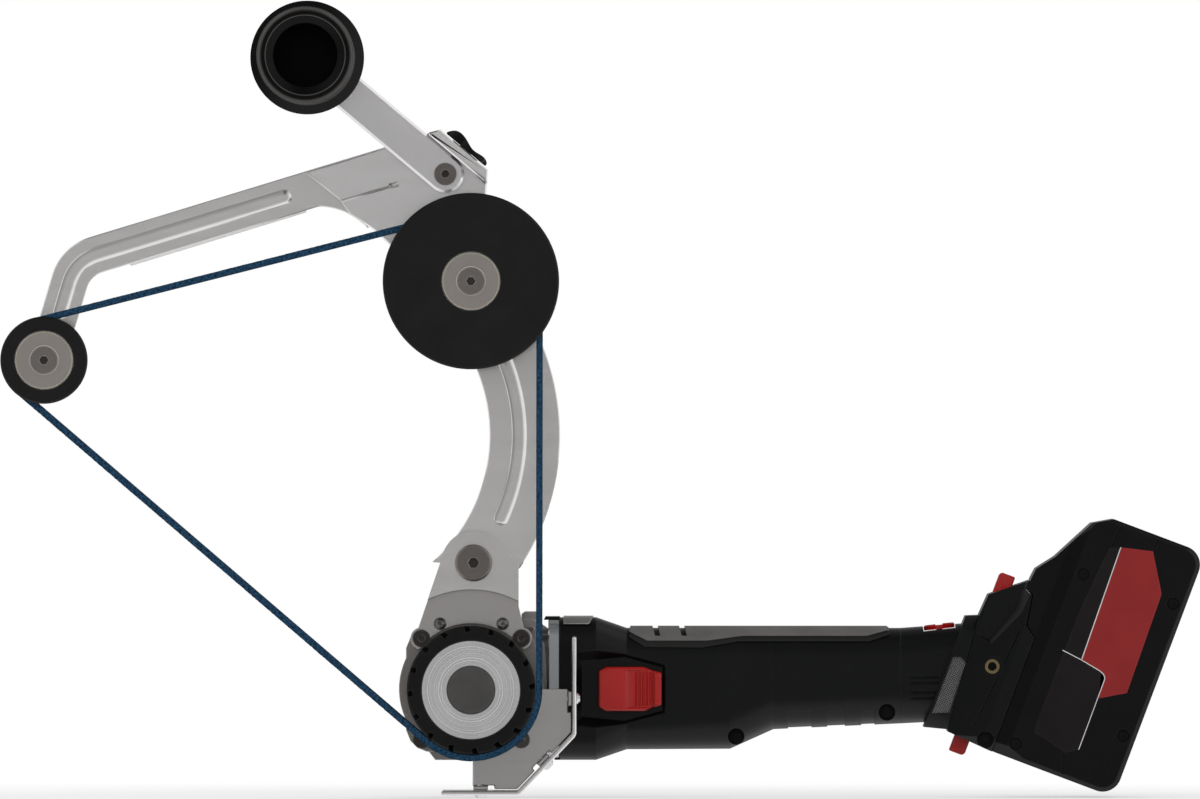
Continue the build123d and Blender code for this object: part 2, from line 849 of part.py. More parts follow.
# Electronics in the bay of the handle
module_half_depth = 12.0
board_thickness = 1.6
capacitor_radius = 5.0
capacitor_height = 15.0
with BuildPart() as control_electronics:
    module = [(bay_start + 1, bay_low), (bay_start + 20, bay_low), (bay_start + 20, 11), (bay_start + 1, 11)]
    plate(module, -module_half_depth, module_half_depth)
    board = [
        (bay_start + 22, bay_low),
        (bay_end - 1, bay_low),
        (bay_end - 1, bay_low + board_thickness),
        (bay_start + 22, bay_low + board_thickness),
    ]
    plate(board, -bay_half_depth + 1, bay_half_depth - 1)
    for depth in (-9.0, 9.0):
        with Locations(front(depth)):
            with Locations(
                Location((bay_end - 9, bay_low + board_thickness + capacitor_height / 2, 0), (90, 0, 0))
            ):
                Cylinder(capacitor_radius, capacitor_height)
finish(control_electronics, "control_electronics")

# Rear housing: neck behind the seam, then the tilted foot that takes the battery pack
band_start = 205.2
band_low = 58.2
band_high = 115.0
band_half_depth = 30.5
neck_low = 64.0
neck_high = 104.0
neck_half_depth = 22.0
rear_low = 60.5
rear_high = 110.0
rear_half_depth = 27.0
rear_corner = 14.0
foot_top_left = (211.7, 127.3)
foot_top_right = (227.4, 140.2)
foot_steps = [(230.8, 134.2), (233.2, 119.8)]
foot_shoulder = 115.7
foot_low = 59.2
foot_start_low = 216.4
foot_start_high = 211.0
foot_near_half_depth = 29.5
foot_left_high = 116.4
foot_full_reach = 233.0
foot_bevel = 4.5
panel_floor = 30.0
panel_flare = -40
panel_ridge = [(219.4, 107.9), (225.2, 125.7), (225.8, 138.5)]
groove_line = [(227.0, 66.7), (229.5, 92.0), (231.3, 116.5)]
groove_width = 0.9
groove_depth = 0.7
rail_low = 64.0
rail_high = 112.0
rail_stem = 3.0
rail_head = 3.0
rail_offset = 19.0
rail_stem_half = 2.0
rail_head_half = 4.0
vent_places = [5.3, 2.8, -1.8, -4.4]
vent_height = 1.3
vent_start = 206.4
vent_end = 219.6
vent_floor = 24.4
spot_face_radius = 5.0
spot_face = 33.0
foot_screw = (234.3, 62.9)
foot_screw_floor = 31.0

# Release buttons: (low end, high end, near side, far side) along and across the rails
button_half_depth = 8.0
button_play = 0.3
button_travel = 3.0
upper_button = (124.0, 139.2, 213.4, 221.0)
lower_button = (52.0, 69.0, 220.4, 228.0)


def button_block(ends, grow, stretch_low, stretch_high, mode=Mode.ADD):
    """Block of a release button, or its well when it is grown and stretched."""
    low, high, near, far = ends
    with BuildSketch(rail_end(low - stretch_low)) as shape:
        with Locations(((near + far) / 2, 0)):
            Rectangle(far - near + 2 * grow, 2 * button_half_depth + 2 * grow)
    extrude(shape.sketch, amount=high - low + stretch_low + stretch_high, mode=mode)


def rail_profile(grow):
    """T-shaped rail as (reach, Y) points, grown for the groove that runs on it."""
    reach = rail_face + rail_stem
    return [
        (rail_face - 1, rail_offset - rail_stem_half - grow),
        (reach - grow, rail_offset - rail_stem_half - grow),
        (reach - grow, rail_offset - rail_head_half - grow),
        (reach + rail_head + grow, rail_offset - rail_head_half - grow),
        (reach + rail_head + grow, rail_offset + rail_head_half + grow),
        (reach - grow, rail_offset + rail_head_half + grow),
        (reach - grow, rail_offset + rail_stem_half + grow),
        (rail_face - 1, rail_offset + rail_stem_half + grow),
    ]


def bevel_plane(reach, rise, heading, side, half_depth):
    """Plane that bevels a side's edge at 45 degrees: through one point, facing one heading."""
    out = radians(heading - pack_tilt)
    place = tilted(side * half_depth).from_local_coords((reach, rise, 0))
    return Plane(origin=place, x_dir=(-sin(out), 0, cos(out)), z_dir=(cos(out), -side, sin(out)))


with BuildPart() as foot_block:
    plate(
        [
            (foot_start_low, foot_low + 1),
            (rail_face, foot_low - 0.5),
            (rail_face, foot_shoulder),
            foot_steps[1],
            foot_steps[0],
            (foot_top_right[0], foot_steps[0][1] + 1.4),
            foot_top_right,
            foot_top_left,
            (foot_start_high, foot_left_high),
        ],
        -foot_half_depth,
        foot_half_depth,
        plane=tilted,
    )
    with BuildSketch(rail_end(foot_low - 10)):
        Polygon(
            (band_start, -foot_near_half_depth),
            (foot_start_high, -foot_near_half_depth),
            (foot_full_reach, -foot_half_depth),
            (rail_face + 1, -foot_half_depth),
            (rail_face + 1, foot_half_depth),
            (foot_full_reach, foot_half_depth),
            (foot_start_high, foot_near_half_depth),
            (band_start, foot_near_half_depth),
            align=None,
        )
    extrude(amount=foot_top_right[1], mode=Mode.INTERSECT)
    for side in (1, -1):
        bevel = bevel_plane(foot_full_reach, foot_low + foot_bevel, -90, side, foot_half_depth)
        split(bisect_by=bevel, keep=Keep.BOTTOM)
        with BuildSketch(tilted(side * panel_floor)):
            Polygon(
                (foot_start_high - 8, panel_ridge[0][1]),
                *panel_ridge,
                (panel_ridge[-1][0], foot_top_right[1] + 8),
                (foot_start_high - 8, foot_top_right[1] + 8),
                align=None,
            )
        extrude(amount=side * 8, taper=panel_flare, mode=Mode.SUBTRACT)
        groove = ribbon(groove_line, groove_width)
        groove_floor = side * (foot_half_depth - 2 - groove_depth)
        plate(groove, groove_floor, side * (foot_half_depth + 1), Mode.SUBTRACT, tilted)

dial_lean = radians(dial_slope)
dial_plane = Plane(
    origin=(spindle_x + dial_x, spindle_y, spindle_z + dial_z),
    x_dir=(cos(dial_lean), 0, sin(dial_lean)),
    z_dir=(-sin(dial_lean), 0, cos(dial_lean)),
)

with BuildPart() as rear_whole:
    x, top, bottom, half_depth, corner = housing_stations[-1]
    with BuildSketch(section(x)):
        with Locations((0, (top + bottom) / 2)):
            RectangleRounded(2 * half_depth, top - bottom, corner)
    with BuildSketch(tilted_section(band_start)):
        with Locations((0, (rear_low + rear_high) / 2)):
            RectangleRounded(2 * rear_half_depth, rear_high - rear_low, rear_corner)
    loft(ruled=True)
    with BuildSketch(tilted_section(band_start)):
        with Locations((0, (neck_low + neck_high) / 2)):
            Rectangle(2 * neck_half_depth, neck_high - neck_low)
    extrude(amount=foot_start_low + 3 - band_start)
    add(foot_block.part)
    for side in (1, -1):
        with BuildSketch(rail_end(rail_low)):
            Polygon(*[(reach, side * y) for reach, y in rail_profile(0)], align=None)
        extrude(amount=rail_high - rail_low)
    for z in vent_places:
        slot = [
            (vent_start, z - vent_height / 2),
            (vent_end, z - vent_height / 2),
            (vent_end, z + vent_height / 2),
            (vent_start, z + vent_height / 2),
        ]
        plate(slot, vent_floor, foot_half_depth, Mode.SUBTRACT)
        plate(slot, -foot_half_depth, -vent_floor, Mode.SUBTRACT)
    with BuildSketch(dial_plane.offset(-dial_room)):
        Rectangle(2 * (dial_radius + dial_room), 2 * foot_half_depth)
    extrude(amount=dial_channel_height, mode=Mode.SUBTRACT)
    with BuildSketch(dial_plane.offset(-dial_pin_reach - dial_room)):
        Circle(dial_pin_radius + running_clearance)
    extrude(amount=dial_pin_reach, mode=Mode.SUBTRACT)
    post(insert_x, insert_z, spot_face_radius, spot_face, foot_half_depth + 1, Mode.SUBTRACT)
    post(insert_x, insert_z, spot_face_radius, -foot_half_depth - 1, -spot_face, Mode.SUBTRACT)
    post(insert_x, insert_z, insert_radius, spot_face - insert_length, spot_face, Mode.SUBTRACT)
    post(insert_x, insert_z, insert_radius, -spot_face, insert_length - spot_face, Mode.SUBTRACT)
    button_block(upper_button, button_play, button_travel + button_play, 8, Mode.SUBTRACT)
    button_block(lower_button, button_play, 0, button_travel + button_play, Mode.SUBTRACT)
    with BuildSketch(tilted(foot_screw_floor)):
        with Locations(foot_screw):
            Circle(screw_well_radius)
    extrude(amount=foot_half_depth, mode=Mode.SUBTRACT)

with BuildPart() as rear_housing_near:
    add(rear_whole.part)
    split(bisect_by=front(0), keep=Keep.TOP)
finish(rear_housing_near, "rear_housing_near")

with BuildPart() as rear_housing_far:
    add(rear_whole.part)
    split(bisect_by=front(0), keep=Keep.BOTTOM)
finish(rear_housing_far, "rear_housing_far")

# Dust filter: a proud band round the neck with a mesh window on each side
window_points = [(206.3, 65.6), (214.2, 68.6), (213.2, 93.0), (210.4, 95.4), (206.3, 94.0)]
window_floor = 29.2
mesh_thickness = 0.9
with BuildPart() as filter_frame:
    with BuildSketch(tilted_section(band_start)):
        with Locations((0, (band_low + band_high) / 2)):
            RectangleRounded(2 * band_half_depth, band_high - band_low + 4, rear_corner)
        with Locations((0, (neck_low + neck_high) / 2)):
            Rectangle(2 * neck_half_depth, neck_high - neck_low, mode=Mode.SUBTRACT)
    extrude(amount=foot_start_low - band_start)
    plate(
        [
            (band_start, band_low),
            (foot_start_low - 0.2, foot_low + 2),
            (foot_start_high - 0.2, band_high + 1.4),
            (band_start, band_high - 1),
        ],
        -band_half_depth - 1,
        band_half_depth + 1,
        Mode.INTERSECT,
        tilted,
    )
    plate(window_points, window_floor, band_half_depth + 1, Mode.SUBTRACT, tilted)
    plate(window_points, -band_half_depth - 1, -window_floor, Mode.SUBTRACT, tilted)
finish(filter_frame, "filter_frame")

with BuildPart() as filter_mesh:
    plate(window_points, window_floor, window_floor + mesh_thickness, plane=tilted)
    plate(window_points, -window_floor - mesh_thickness, -window_floor, plane=tilted)
finish(filter_mesh, "filter_mesh")

# Speed dial: a flat disc with a finger slot, turning on a pin in a channel across the top
with BuildPart() as speed_dial:
    with BuildSketch(dial_plane):
        Circle(dial_radius)
    extrude(amount=dial_height)
    chamfer(speed_dial.faces().sort_by(Axis.Z)[-1].edges(), dial_bevel)
    with BuildSketch(dial_plane.offset(dial_height - dial_slot_depth)):
        Rectangle(2 * dial_slot_half, 3 * dial_radius)
    extrude(amount=dial_slot_depth, mode=Mode.SUBTRACT)
    with BuildSketch(dial_plane.offset(-dial_pin_reach)):
        Circle(dial_pin_radius)
    extrude(amount=dial_pin_reach)
finish(speed_dial, "speed_dial")

with BuildPart() as threaded_inserts:
    for back in (spot_face - insert_length, -spot_face):
        post(insert_x, insert_z, insert_radius - 0.02, back, back + insert_length)
        post(insert_x, insert_z, insert_bore, back, back + insert_length, Mode.SUBTRACT)
finish(threaded_inserts, "threaded_inserts")

with BuildPart() as housing_screws:
    for x, z, floor in housing_screw_places:
        post(x, z, screw_head_radius, floor, floor + screw_head_height)
        post(x, z, screw_shank_radius, -screw_shank_reach, floor)
    with BuildSketch(tilted(foot_screw_floor)):
        with Locations(foot_screw):
            Circle(screw_head_radius)
            RegularPolygon(screw_socket, 6, mode=Mode.SUBTRACT)
    extrude(amount=screw_head_height)
finish(housing_screws, "housing_screws")

with BuildPart() as release_button_upper:
    button_block(upper_button, 0, 0, 0)
    chamfer(release_button_upper.edges().group_by(Axis.Z)[-1], 1.2)
finish(release_button_upper, "release_button_upper")

with BuildPart() as release_button_lower:
    button_block(lower_button, 0, 0, 0)
    chamfer(release_button_lower.edges().group_by(Axis.Z)[0], 1.2)
finish(release_button_lower, "release_button_lower")

# Contact blades on the foot, reaching into the open channel of the pack
blade_places = [-9.0, -3.0, 3.0, 9.0]
blade_thickness = 1.0
blade_reach = 6.5
blade_low = 80.0
blade_high = 94.0
with BuildPart() as contact_blades:
    blade = [
        (rail_face, blade_low),
        (rail_face + blade_reach, blade_low),
        (rail_face + blade_reach, blade_high),
        (rail_face, blade_high),
    ]
    for depth in blade_places:
        plate(blade, depth, depth + blade_thickness, plane=tilted)
finish(contact_blades, "contact_blades")

# Battery pack: two case halves round ten cells, with grooves for the rails
pack_half = pack_width / 2
pack_edge = 2.0
pack_corner = 9.0
pack_shoulder = [(9.0, 0.0), (0.0, 5.4), (-10.6, 26.2), (-17.1, 34.7)]
pack_shoulder_reach = 245.4
pack_full_reach = 245.5
pack_seam_half_depth = foot_half_depth - 0.2
shoulder_heading = 157.0
shoulder_bevel = (229.4, 134.6)
corner_heading = -110.0
corner_bevel = (248.4, 63.0)
crease_width = 0.6
crease_depth = 0.4
pack_creases = [
    [(257.5, 168.7), (258.9, 181.0)],
    [(276.5, 174.3), (277.1, 181.0)],
    [(270.7, 70.1), (274.2, 59.0)],
]
channel_half_depth = 12.5
channel_reach = 8.5
channel_high = 100.0
cell_pitch = 2 * cell_radius + 0.8
cell_rows = 2
cells_in_row = 5
cell_wall = 7.0
cells_reach = pack_face_end - cell_wall - cell_rows * cell_pitch / 2
cells_rise = (pack_low_end + pack_high_end) / 2
panel_depth = 0.4
panel_rise = 0.1
red_panel = [
    (262.3, 170.0),
    (276.7, 173.5),
    (287.6, 156.1),
    (288.7, 106.9),
    (277.3, 99.9),
    (273.9, 111.6),
    (263.4, 113.7),
]
pack_screw_places = [(249.9, 151.9), (294.2, 153.8), (294.2, 87.5), (248.2, 66.2)]
pack_screw_radius = 2.5
pack_screw_well = 1.6
pack_screw_height = 1.2



def pack_reach(edge):
    """How far the middle of an edge lies from the tool, along the pack's reach."""
    return tilted(0).to_local_coords(edge.center()).X


with BuildPart() as pack_whole:
    seam_side = [
        (foot_top_right[0], foot_top_right[1] + 1),
        (foot_top_right[0], foot_steps[0][1] + 1.4),
        *foot_steps,
        (rail_face, foot_shoulder),
    ]
    with BuildSketch(tilted(-pack_half)) as pack_outline:
        Polygon(
            (rail_face + slide_clearance, pack_low_end),
            (pack_face_end, pack_low_end),
            (pack_face_end, pack_high_end),
            *[(pack_shoulder_reach + right, pack_high_end - drop) for right, drop in pack_shoulder],
            *[(reach + slide_clearance, rise + slide_clearance) for reach, rise in seam_side],
            align=None,
        )
        fillet(pack_outline.vertices().sort_by(Axis.X)[-2:], pack_corner)
    extrude(amount=pack_width)
    for face in (pack_whole.faces().sort_by(Axis.Y)[0], pack_whole.faces().sort_by(Axis.Y)[-1]):
        far_edges = [edge for edge in face.edges() if pack_reach(edge) > pack_shoulder_reach + 10]
        chamfer(far_edges, pack_edge)
    with BuildSketch(rail_end(pack_low_end - 10)):
        Polygon(
            (rail_face, -pack_seam_half_depth),
            (pack_full_reach, -pack_half),
            (pack_face_end + 1, -pack_half),
            (pack_face_end + 1, pack_half),
            (pack_full_reach, pack_half),
            (rail_face, pack_seam_half_depth),
            (foot_start_high, foot_near_half_depth),
            (foot_start_high, -foot_near_half_depth),
            align=None,
        )
    extrude(amount=pack_high_end, mode=Mode.INTERSECT)
    for side in (1, -1):
        split(bisect_by=bevel_plane(*shoulder_bevel, shoulder_heading, side, pack_half), keep=Keep.BOTTOM)
        split(bisect_by=bevel_plane(*corner_bevel, corner_heading, side, pack_half), keep=Keep.BOTTOM)
        for crease in pack_creases:
            groove = ribbon(crease, crease_width)
            plate(groove, side * (pack_half - crease_depth), side * pack_half, Mode.SUBTRACT, tilted)
    with BuildSketch(tilted(-cell_length / 2 - 0.2)):
        with Locations((cells_reach, cells_rise)):
            Rectangle(cell_rows * cell_pitch + 0.4, cells_in_row * cell_pitch + 0.4)
    extrude(amount=cell_length + 0.4, mode=Mode.SUBTRACT)
    for side in (1, -1):
        with BuildSketch(rail_end(pack_low_end - 1)):
            Polygon(*[(reach, side * y) for reach, y in rail_profile(slide_clearance)], align=None)
        extrude(amount=rail_high + 0.5 - pack_low_end + 1, mode=Mode.SUBTRACT)
    channel = [
        (rail_face - 1, pack_low_end - 1),
        (rail_face + channel_reach, pack_low_end - 1),
        (rail_face + channel_reach, channel_high),
        (rail_face - 1, channel_high),
    ]
    plate(channel, -channel_half_depth, channel_half_depth, Mode.SUBTRACT, tilted)
    plate(red_panel, pack_half - panel_depth, pack_half, Mode.SUBTRACT, tilted)
    with BuildSketch(tilted(pack_half - pack_screw_well)):
        with Locations(*pack_screw_places):
            Circle(pack_screw_radius + 0.4)
    extrude(amount=pack_screw_well, mode=Mode.SUBTRACT)

with BuildPart() as pack_case_near:
    add(pack_whole.part)
    split(bisect_by=front(0), keep=Keep.TOP)
finish(pack_case_near, "pack_case_near")

with BuildPart() as pack_case_far:
    add(pack_whole.part)
    split(bisect_by=front(0), keep=Keep.BOTTOM)
finish(pack_case_far, "pack_case_far")

with BuildPart() as pack_cells:
    with BuildSketch(tilted(-cell_length / 2)):
        with Locations((cells_reach, cells_rise)):
            with GridLocations(cell_pitch, cell_pitch, cell_rows, cells_in_row):
                Circle(cell_radius)
    extrude(amount=cell_length)
finish(pack_cells, "pack_cells")

with BuildPart() as pack_red_panel:
    plate(red_panel, pack_half - panel_depth, pack_half + panel_rise, plane=tilted)
finish(pack_red_panel, "pack_red_panel")

with BuildPart() as pack_screws:
    with BuildSketch(tilted(pack_half - pack_screw_well)):
        with Locations(*pack_screw_places):
            Circle(pack_screw_radius)
            RegularPolygon(1.3, 6, mode=Mode.SUBTRACT)
    extrude(amount=pack_screw_height)
finish(pack_screws, "pack_screws")

# Base bracket: flat on the bearing flange, then joggled forward over the belt arm
joggle_radius = 47.6
joggle_half = 0.9
bracket_cut = drive_radius + 0.7
bracket_right = 22.2
bracket_round = 15.0
bracket_ear = 5.2
bracket_screw_x = 14.7
bracket_screw_z = 30.7
bracket_screw_radius = 3.0
bracket_screw_height = 2.0
bracket_screw_shank = 1.5
upper_screw_places = [(-flange_screw_x, flange_screw_z), (flange_screw_x, flange_screw_z)]
head_recess = 2.2
bracket_low_outline = [
    (-15.6, arm_pivot_z - 3),
    (bracket_right, arm_pivot_z - 3),
    (bracket_right, 38.9),
    (24.9, 27.7),
    (flange_screw_x, flange_screw_z),
    (-flange_screw_x, flange_screw_z),
    (-25.8, 26.1),
]
bracket_high_outline = [
    (-21.9, 38.0),
    (arm_pivot_x - 14.6, arm_pivot_z + 3.2),
    (arm_pivot_x + 7.0, arm_pivot_z + 13.2),
    (arm_pivot_x + 17.3, arm_pivot_z + 4.4),
    (bracket_right, arm_pivot_z - 1.6),
    (bracket_right, 38.0),
]

with BuildPart() as base_bracket:
    with BuildSketch(front(flange_face)):
        Polygon(*bracket_low_outline, align=None)
        with Locations(*upper_screw_places):
            Circle(bracket_ear)
        Circle(joggle_radius + joggle_half, mode=Mode.INTERSECT)
        Circle(bracket_cut, mode=Mode.SUBTRACT)
    extrude(amount=sheet)
    with BuildSketch(front(upper_back)):
        Polygon(*bracket_high_outline, align=None)
        with Locations((arm_pivot_x, arm_pivot_z)):
            Circle(bracket_round)
        Circle(joggle_radius - joggle_half, mode=Mode.SUBTRACT)
    extrude(amount=sheet)
    with BuildSketch(front(flange_face)):
        Polygon(*bracket_high_outline, align=None)
        Circle(joggle_radius + joggle_half, mode=Mode.INTERSECT)
        Circle(joggle_radius - joggle_half, mode=Mode.SUBTRACT)
    extrude(amount=upper_front - flange_face)
    post(arm_pivot_x, arm_pivot_z, arm_pivot_radius, upper_back, upper_front, Mode.SUBTRACT)
    for x, z in upper_screw_places:
        post(x, z, flange_screw_shank, flange_face, flange_face + sheet, Mode.SUBTRACT)
        head_seat = flange_face + sheet - head_recess
        post(x, z, flange_screw_radius + 0.1, head_seat, flange_face + sheet, Mode.SUBTRACT)
    for x in (-bracket_screw_x, bracket_screw_x):
        post(x, bracket_screw_z, bracket_screw_shank, flange_face, flange_face + sheet, Mode.SUBTRACT)
finish(base_bracket, "base_bracket")

# Guard: plate on the flange with three bent tabs, and a strip screwed to the tabs
guard_plate_front = flange_face + guard_sheet
guard_depth = 52.0
tab_front = 48.0
tab_half = 3.4
tab_slot = 3.0
tab_margin = 1.5
plate_gap = 0.35
plate_left = 0.6
guard_line = [
    (guard_side_x, guard_top_z),
    (guard_side_x, guard_bend_z),
    (guard_bend_x, guard_floor_z),
    (guard_left_x, guard_floor_z),
]
guard_inside = ribbon(guard_line, guard_sheet + 2 * plate_gap)[len(guard_line):][::-1]
guard_bolt_depth = 42.5
guard_bolt_head = 2.8
guard_bolt_head_height = 1.8
guard_bolt_rim = 0.6
slope_heading = atan2(guard_floor_z - guard_bend_z, guard_bend_x - guard_side_x)
slope_x = (guard_side_x + guard_bend_x) / 2
slope_z = (guard_bend_z + guard_floor_z) / 2
# Each tab as (x, z, way outwards, side of its relief slot)
guard_tabs = [
    (guard_side_x, -4.4, 0.0, -1),
    (slope_x, slope_z, degrees(slope_heading) + 90, -1),
    (4.35, guard_floor_z, -90.0, 1),
]


def guard_plane(x, z, outward):
    """Plane across a guard bolt, looking outward through the strip."""
    origin = (spindle_x + x, spindle_y - guard_bolt_depth, spindle_z + z)
    turn_out = radians(outward)
    return Plane(origin=origin, x_dir=(0, 1, 0), z_dir=(cos(turn_out), 0, sin(turn_out)))


def tab_notch(x, z, outward, slot_side):
    """Corner points of the notch in the plate's edge that a tab is bent out of."""
    turn_out = radians(outward)
    points = []
    for along, out in (
        (-slot_side * (tab_half + tab_margin), 0),
        (-slot_side * (tab_half + tab_margin), -1.5 * guard_sheet),
        (slot_side * (tab_half + tab_slot), -1.5 * guard_sheet),
        (slot_side * (tab_half + tab_slot), 0),
    ):
        corner_x = x + out * cos(turn_out) - along * sin(turn_out)
        corner_z = z + out * sin(turn_out) + along * cos(turn_out)
        points.append((corner_x, corner_z))
    return points


with BuildPart() as guard_plate:
    with BuildSketch(front(flange_face)):
        Polygon(
            (flange_round - 2.5, 0),
            (guard_inside[0][0], 0),
            *guard_inside[1:3],
            (plate_left, guard_inside[3][1]),
            (plate_left, -20),
            align=None,
        )
        Circle(bracket_cut, mode=Mode.SUBTRACT)
        with Locations((flange_screw_x, -flange_screw_z)):
            Circle(flange_screw_shank, mode=Mode.SUBTRACT)
        for tab in guard_tabs:
            Polygon(*tab_notch(*tab), align=None, mode=Mode.SUBTRACT)
    extrude(amount=guard_sheet)
    for x, z, outward, slot_side in guard_tabs:
        with BuildSketch(guard_plane(x, z, outward).offset(-1.5 * guard_sheet)):
            with Locations((-(tab_front + flange_face) / 2 + guard_bolt_depth, 0)):
                Rectangle(tab_front - flange_face, 2 * tab_half)
            Circle(guard_bolt_radius, mode=Mode.SUBTRACT)
        extrude(amount=guard_sheet)
finish(guard_plate, "guard_plate")

with BuildPart() as guard_strip:
    with BuildSketch(front(flange_face)):
        with BuildLine():
            FilletPolyline(*guard_line, radius=guard_bend_radius)
        trace(line_width=guard_sheet)
    extrude(amount=guard_depth)
    for x, z, outward, slot_side in guard_tabs:
        with BuildSketch(guard_plane(x, z, outward).offset(-guard_sheet)):
            Circle(guard_bolt_radius)
        extrude(amount=2 * guard_sheet, mode=Mode.SUBTRACT)
finish(guard_strip, "guard_strip")

with BuildPart() as guard_bolts:
    for x, z, outward, slot_side in guard_tabs:
        with BuildSketch(guard_plane(x, z, outward).offset(-1.5 * guard_sheet - guard_bolt_rim)):
            Circle(guard_bolt_radius)
        extrude(amount=2 * guard_sheet + guard_bolt_rim)
        with BuildSketch(guard_plane(x, z, outward).offset(guard_sheet / 2)):
            Circle(guard_bolt_head)
        extrude(amount=guard_bolt_rim)
        with BuildSketch(guard_plane(x, z, outward).offset(guard_sheet / 2 + guard_bolt_rim)):
            Circle(guard_bolt_head)
        extrude(amount=guard_bolt_head_height - guard_bolt_rim, taper=45)
finish(guard_bolts, "guard_bolts")

# Dark screws of the gear head: two through the bracket and one on the bare flange
flange_screw_socket = 1.7
flange_screw_socket_depth = 1.2


def flange_screw(x, z, seat):
    """Socket screw into the gear case with the underside of its head at one depth."""
    post(x, z, flange_screw_shank, gear_case_front, seat)
    post(x, z, flange_screw_radius, seat, seat + head_recess)
    with BuildSketch(front(seat + head_recess - flange_screw_socket_depth)) as socket:
        with Locations((x, z)):
            RegularPolygon(flange_screw_socket, 6)
    extrude(socket.sketch, amount=flange_screw_socket_depth, mode=Mode.SUBTRACT)


with BuildPart() as gear_head_screws:
    for x in (-flange_screw_x, flange_screw_x):
        flange_screw(x, flange_screw_z, flange_face + sheet - head_recess)
    flange_screw(-flange_screw_x, -flange_screw_z, flange_face)
finish(gear_head_screws, "gear_head_screws")

# Bright bolts: to the motor flange in corner notches, on the guard plate, the bracket and the case
with BuildPart() as gear_head_bolts:
    flange_screw(flange_screw_x, -flange_screw_z, guard_plate_front)
    with BuildSketch(section(bolt_notch_start + 0.4)):
        with GridLocations(2 * gear_bolt_offset, 2 * gear_bolt_offset, 2, 2):
            RegularPolygon(gear_bolt_head, 6)
    extrude(amount=motor_flange_start - bolt_notch_start - 0.4)
    with BuildSketch(section(motor_flange_start)):
        with GridLocations(2 * gear_bolt_offset, 2 * gear_bolt_offset, 2, 2):
            Circle(gear_bolt_shank)
    extrude(amount=motor_front - motor_flange_start)
    post(*cover_screw, cover_screw_shank, gear_case_front - cover_screw_reach, gear_case_front)
    post(*cover_screw, cover_screw_radius, gear_case_front, gear_case_front + cover_screw_height)
    for x in (-bracket_screw_x, bracket_screw_x):
        head_back = flange_face + sheet
        post(x, bracket_screw_z, bracket_screw_shank, flange_face, head_back)
        turn(
            x,
            bracket_screw_z,
            [
                (head_back, 0),
                (head_back, bracket_screw_radius),
                (head_back + bracket_screw_height / 2, bracket_screw_radius * 0.85),
                (head_back + bracket_screw_height, bracket_screw_radius * 0.5),
                (head_back + bracket_screw_height, 0),
            ],
        )
        with BuildSketch(front(head_back + bracket_screw_height / 2)):
            with Locations((x, bracket_screw_z)):
                RegularPolygon(bracket_screw_radius * 0.4, 6)
        extrude(amount=bracket_screw_height, mode=Mode.SUBTRACT)
finish(gear_head_bolts, "gear_head_bolts")

# Lower pivot: bolt, and the cup whose spigot carries the arm, with the flat spiral spring
cup_back = 16.0
cup_radius = 15.0
cup_wall = 2.0
spring_start_radius = 6.2
spring_step = 1.7
spring_half_turns = 7
spring_strip = 0.8
spring_side_gap = 0.5
bush_radius = 7.0
cup_front = flange_face

with BuildPart() as pivot_bolt:
    post(arm_pivot_x, arm_pivot_z, arm_pivot_radius, cup_back - 1, upper_front)
    post(
        arm_pivot_x,
        arm_pivot_z,
        arm_pivot_head_radius,
        upper_front,
        upper_front + arm_pivot_head_height,
    )
    chamfer(pivot_bolt.faces().sort_by(Axis.Y)[0].edges(), 0.8)
    with BuildSketch(front(upper_front + 1)):
        with Locations((arm_pivot_x, arm_pivot_z)):
            RegularPolygon(2.6, 6)
    extrude(amount=arm_pivot_head_height, mode=Mode.SUBTRACT)
finish(pivot_bolt, "pivot_bolt")

with BuildPart() as spring_cup:
    turn(
        arm_pivot_x,
        arm_pivot_z,
        [
            (cup_back, arm_pivot_radius),
            (cup_back, cup_radius - 1),
            (cup_back + 1, cup_radius),
            (cup_front, cup_radius),
            (cup_front, bush_radius),
            (upper_back, bush_radius),
            (upper_back, arm_pivot_radius),
            (cup_front - cup_wall, arm_pivot_radius),
            (cup_front - cup_wall, cup_radius - cup_wall),
            (cup_back + cup_wall, cup_radius - cup_wall),
            (cup_back + cup_wall, arm_pivot_radius),
        ],
    )
finish(spring_cup, "spring_cup")

with BuildPart() as tension_spring:
    with BuildSketch(front(cup_back + cup_wall + spring_side_gap)):
        edge_x = arm_pivot_x + spring_start_radius
        for index in range(spring_half_turns):
            side = 1 if index % 2 == 0 else -1
            turn_radius = spring_start_radius + (index + 0.5) * spring_step / 2
            middle_x = edge_x - side * turn_radius
            next_x = middle_x - side * turn_radius
            half_strip = side * spring_strip / 2
            first_angle = 90 - side * 90
            with BuildLine():
                CenterArc((middle_x, arm_pivot_z), turn_radius + spring_strip / 2, first_angle, 180)
                Line((next_x - half_strip, arm_pivot_z), (next_x + half_strip, arm_pivot_z))
                CenterArc((middle_x, arm_pivot_z), turn_radius - spring_strip / 2, first_angle, 180)
                Line((edge_x - half_strip, arm_pivot_z), (edge_x + half_strip, arm_pivot_z))
            make_face()
            edge_x = next_x
    extrude(amount=cup_front - cup_back - 2 * cup_wall - 2 * spring_side_gap)
finish(tension_spring, "tension_spring")

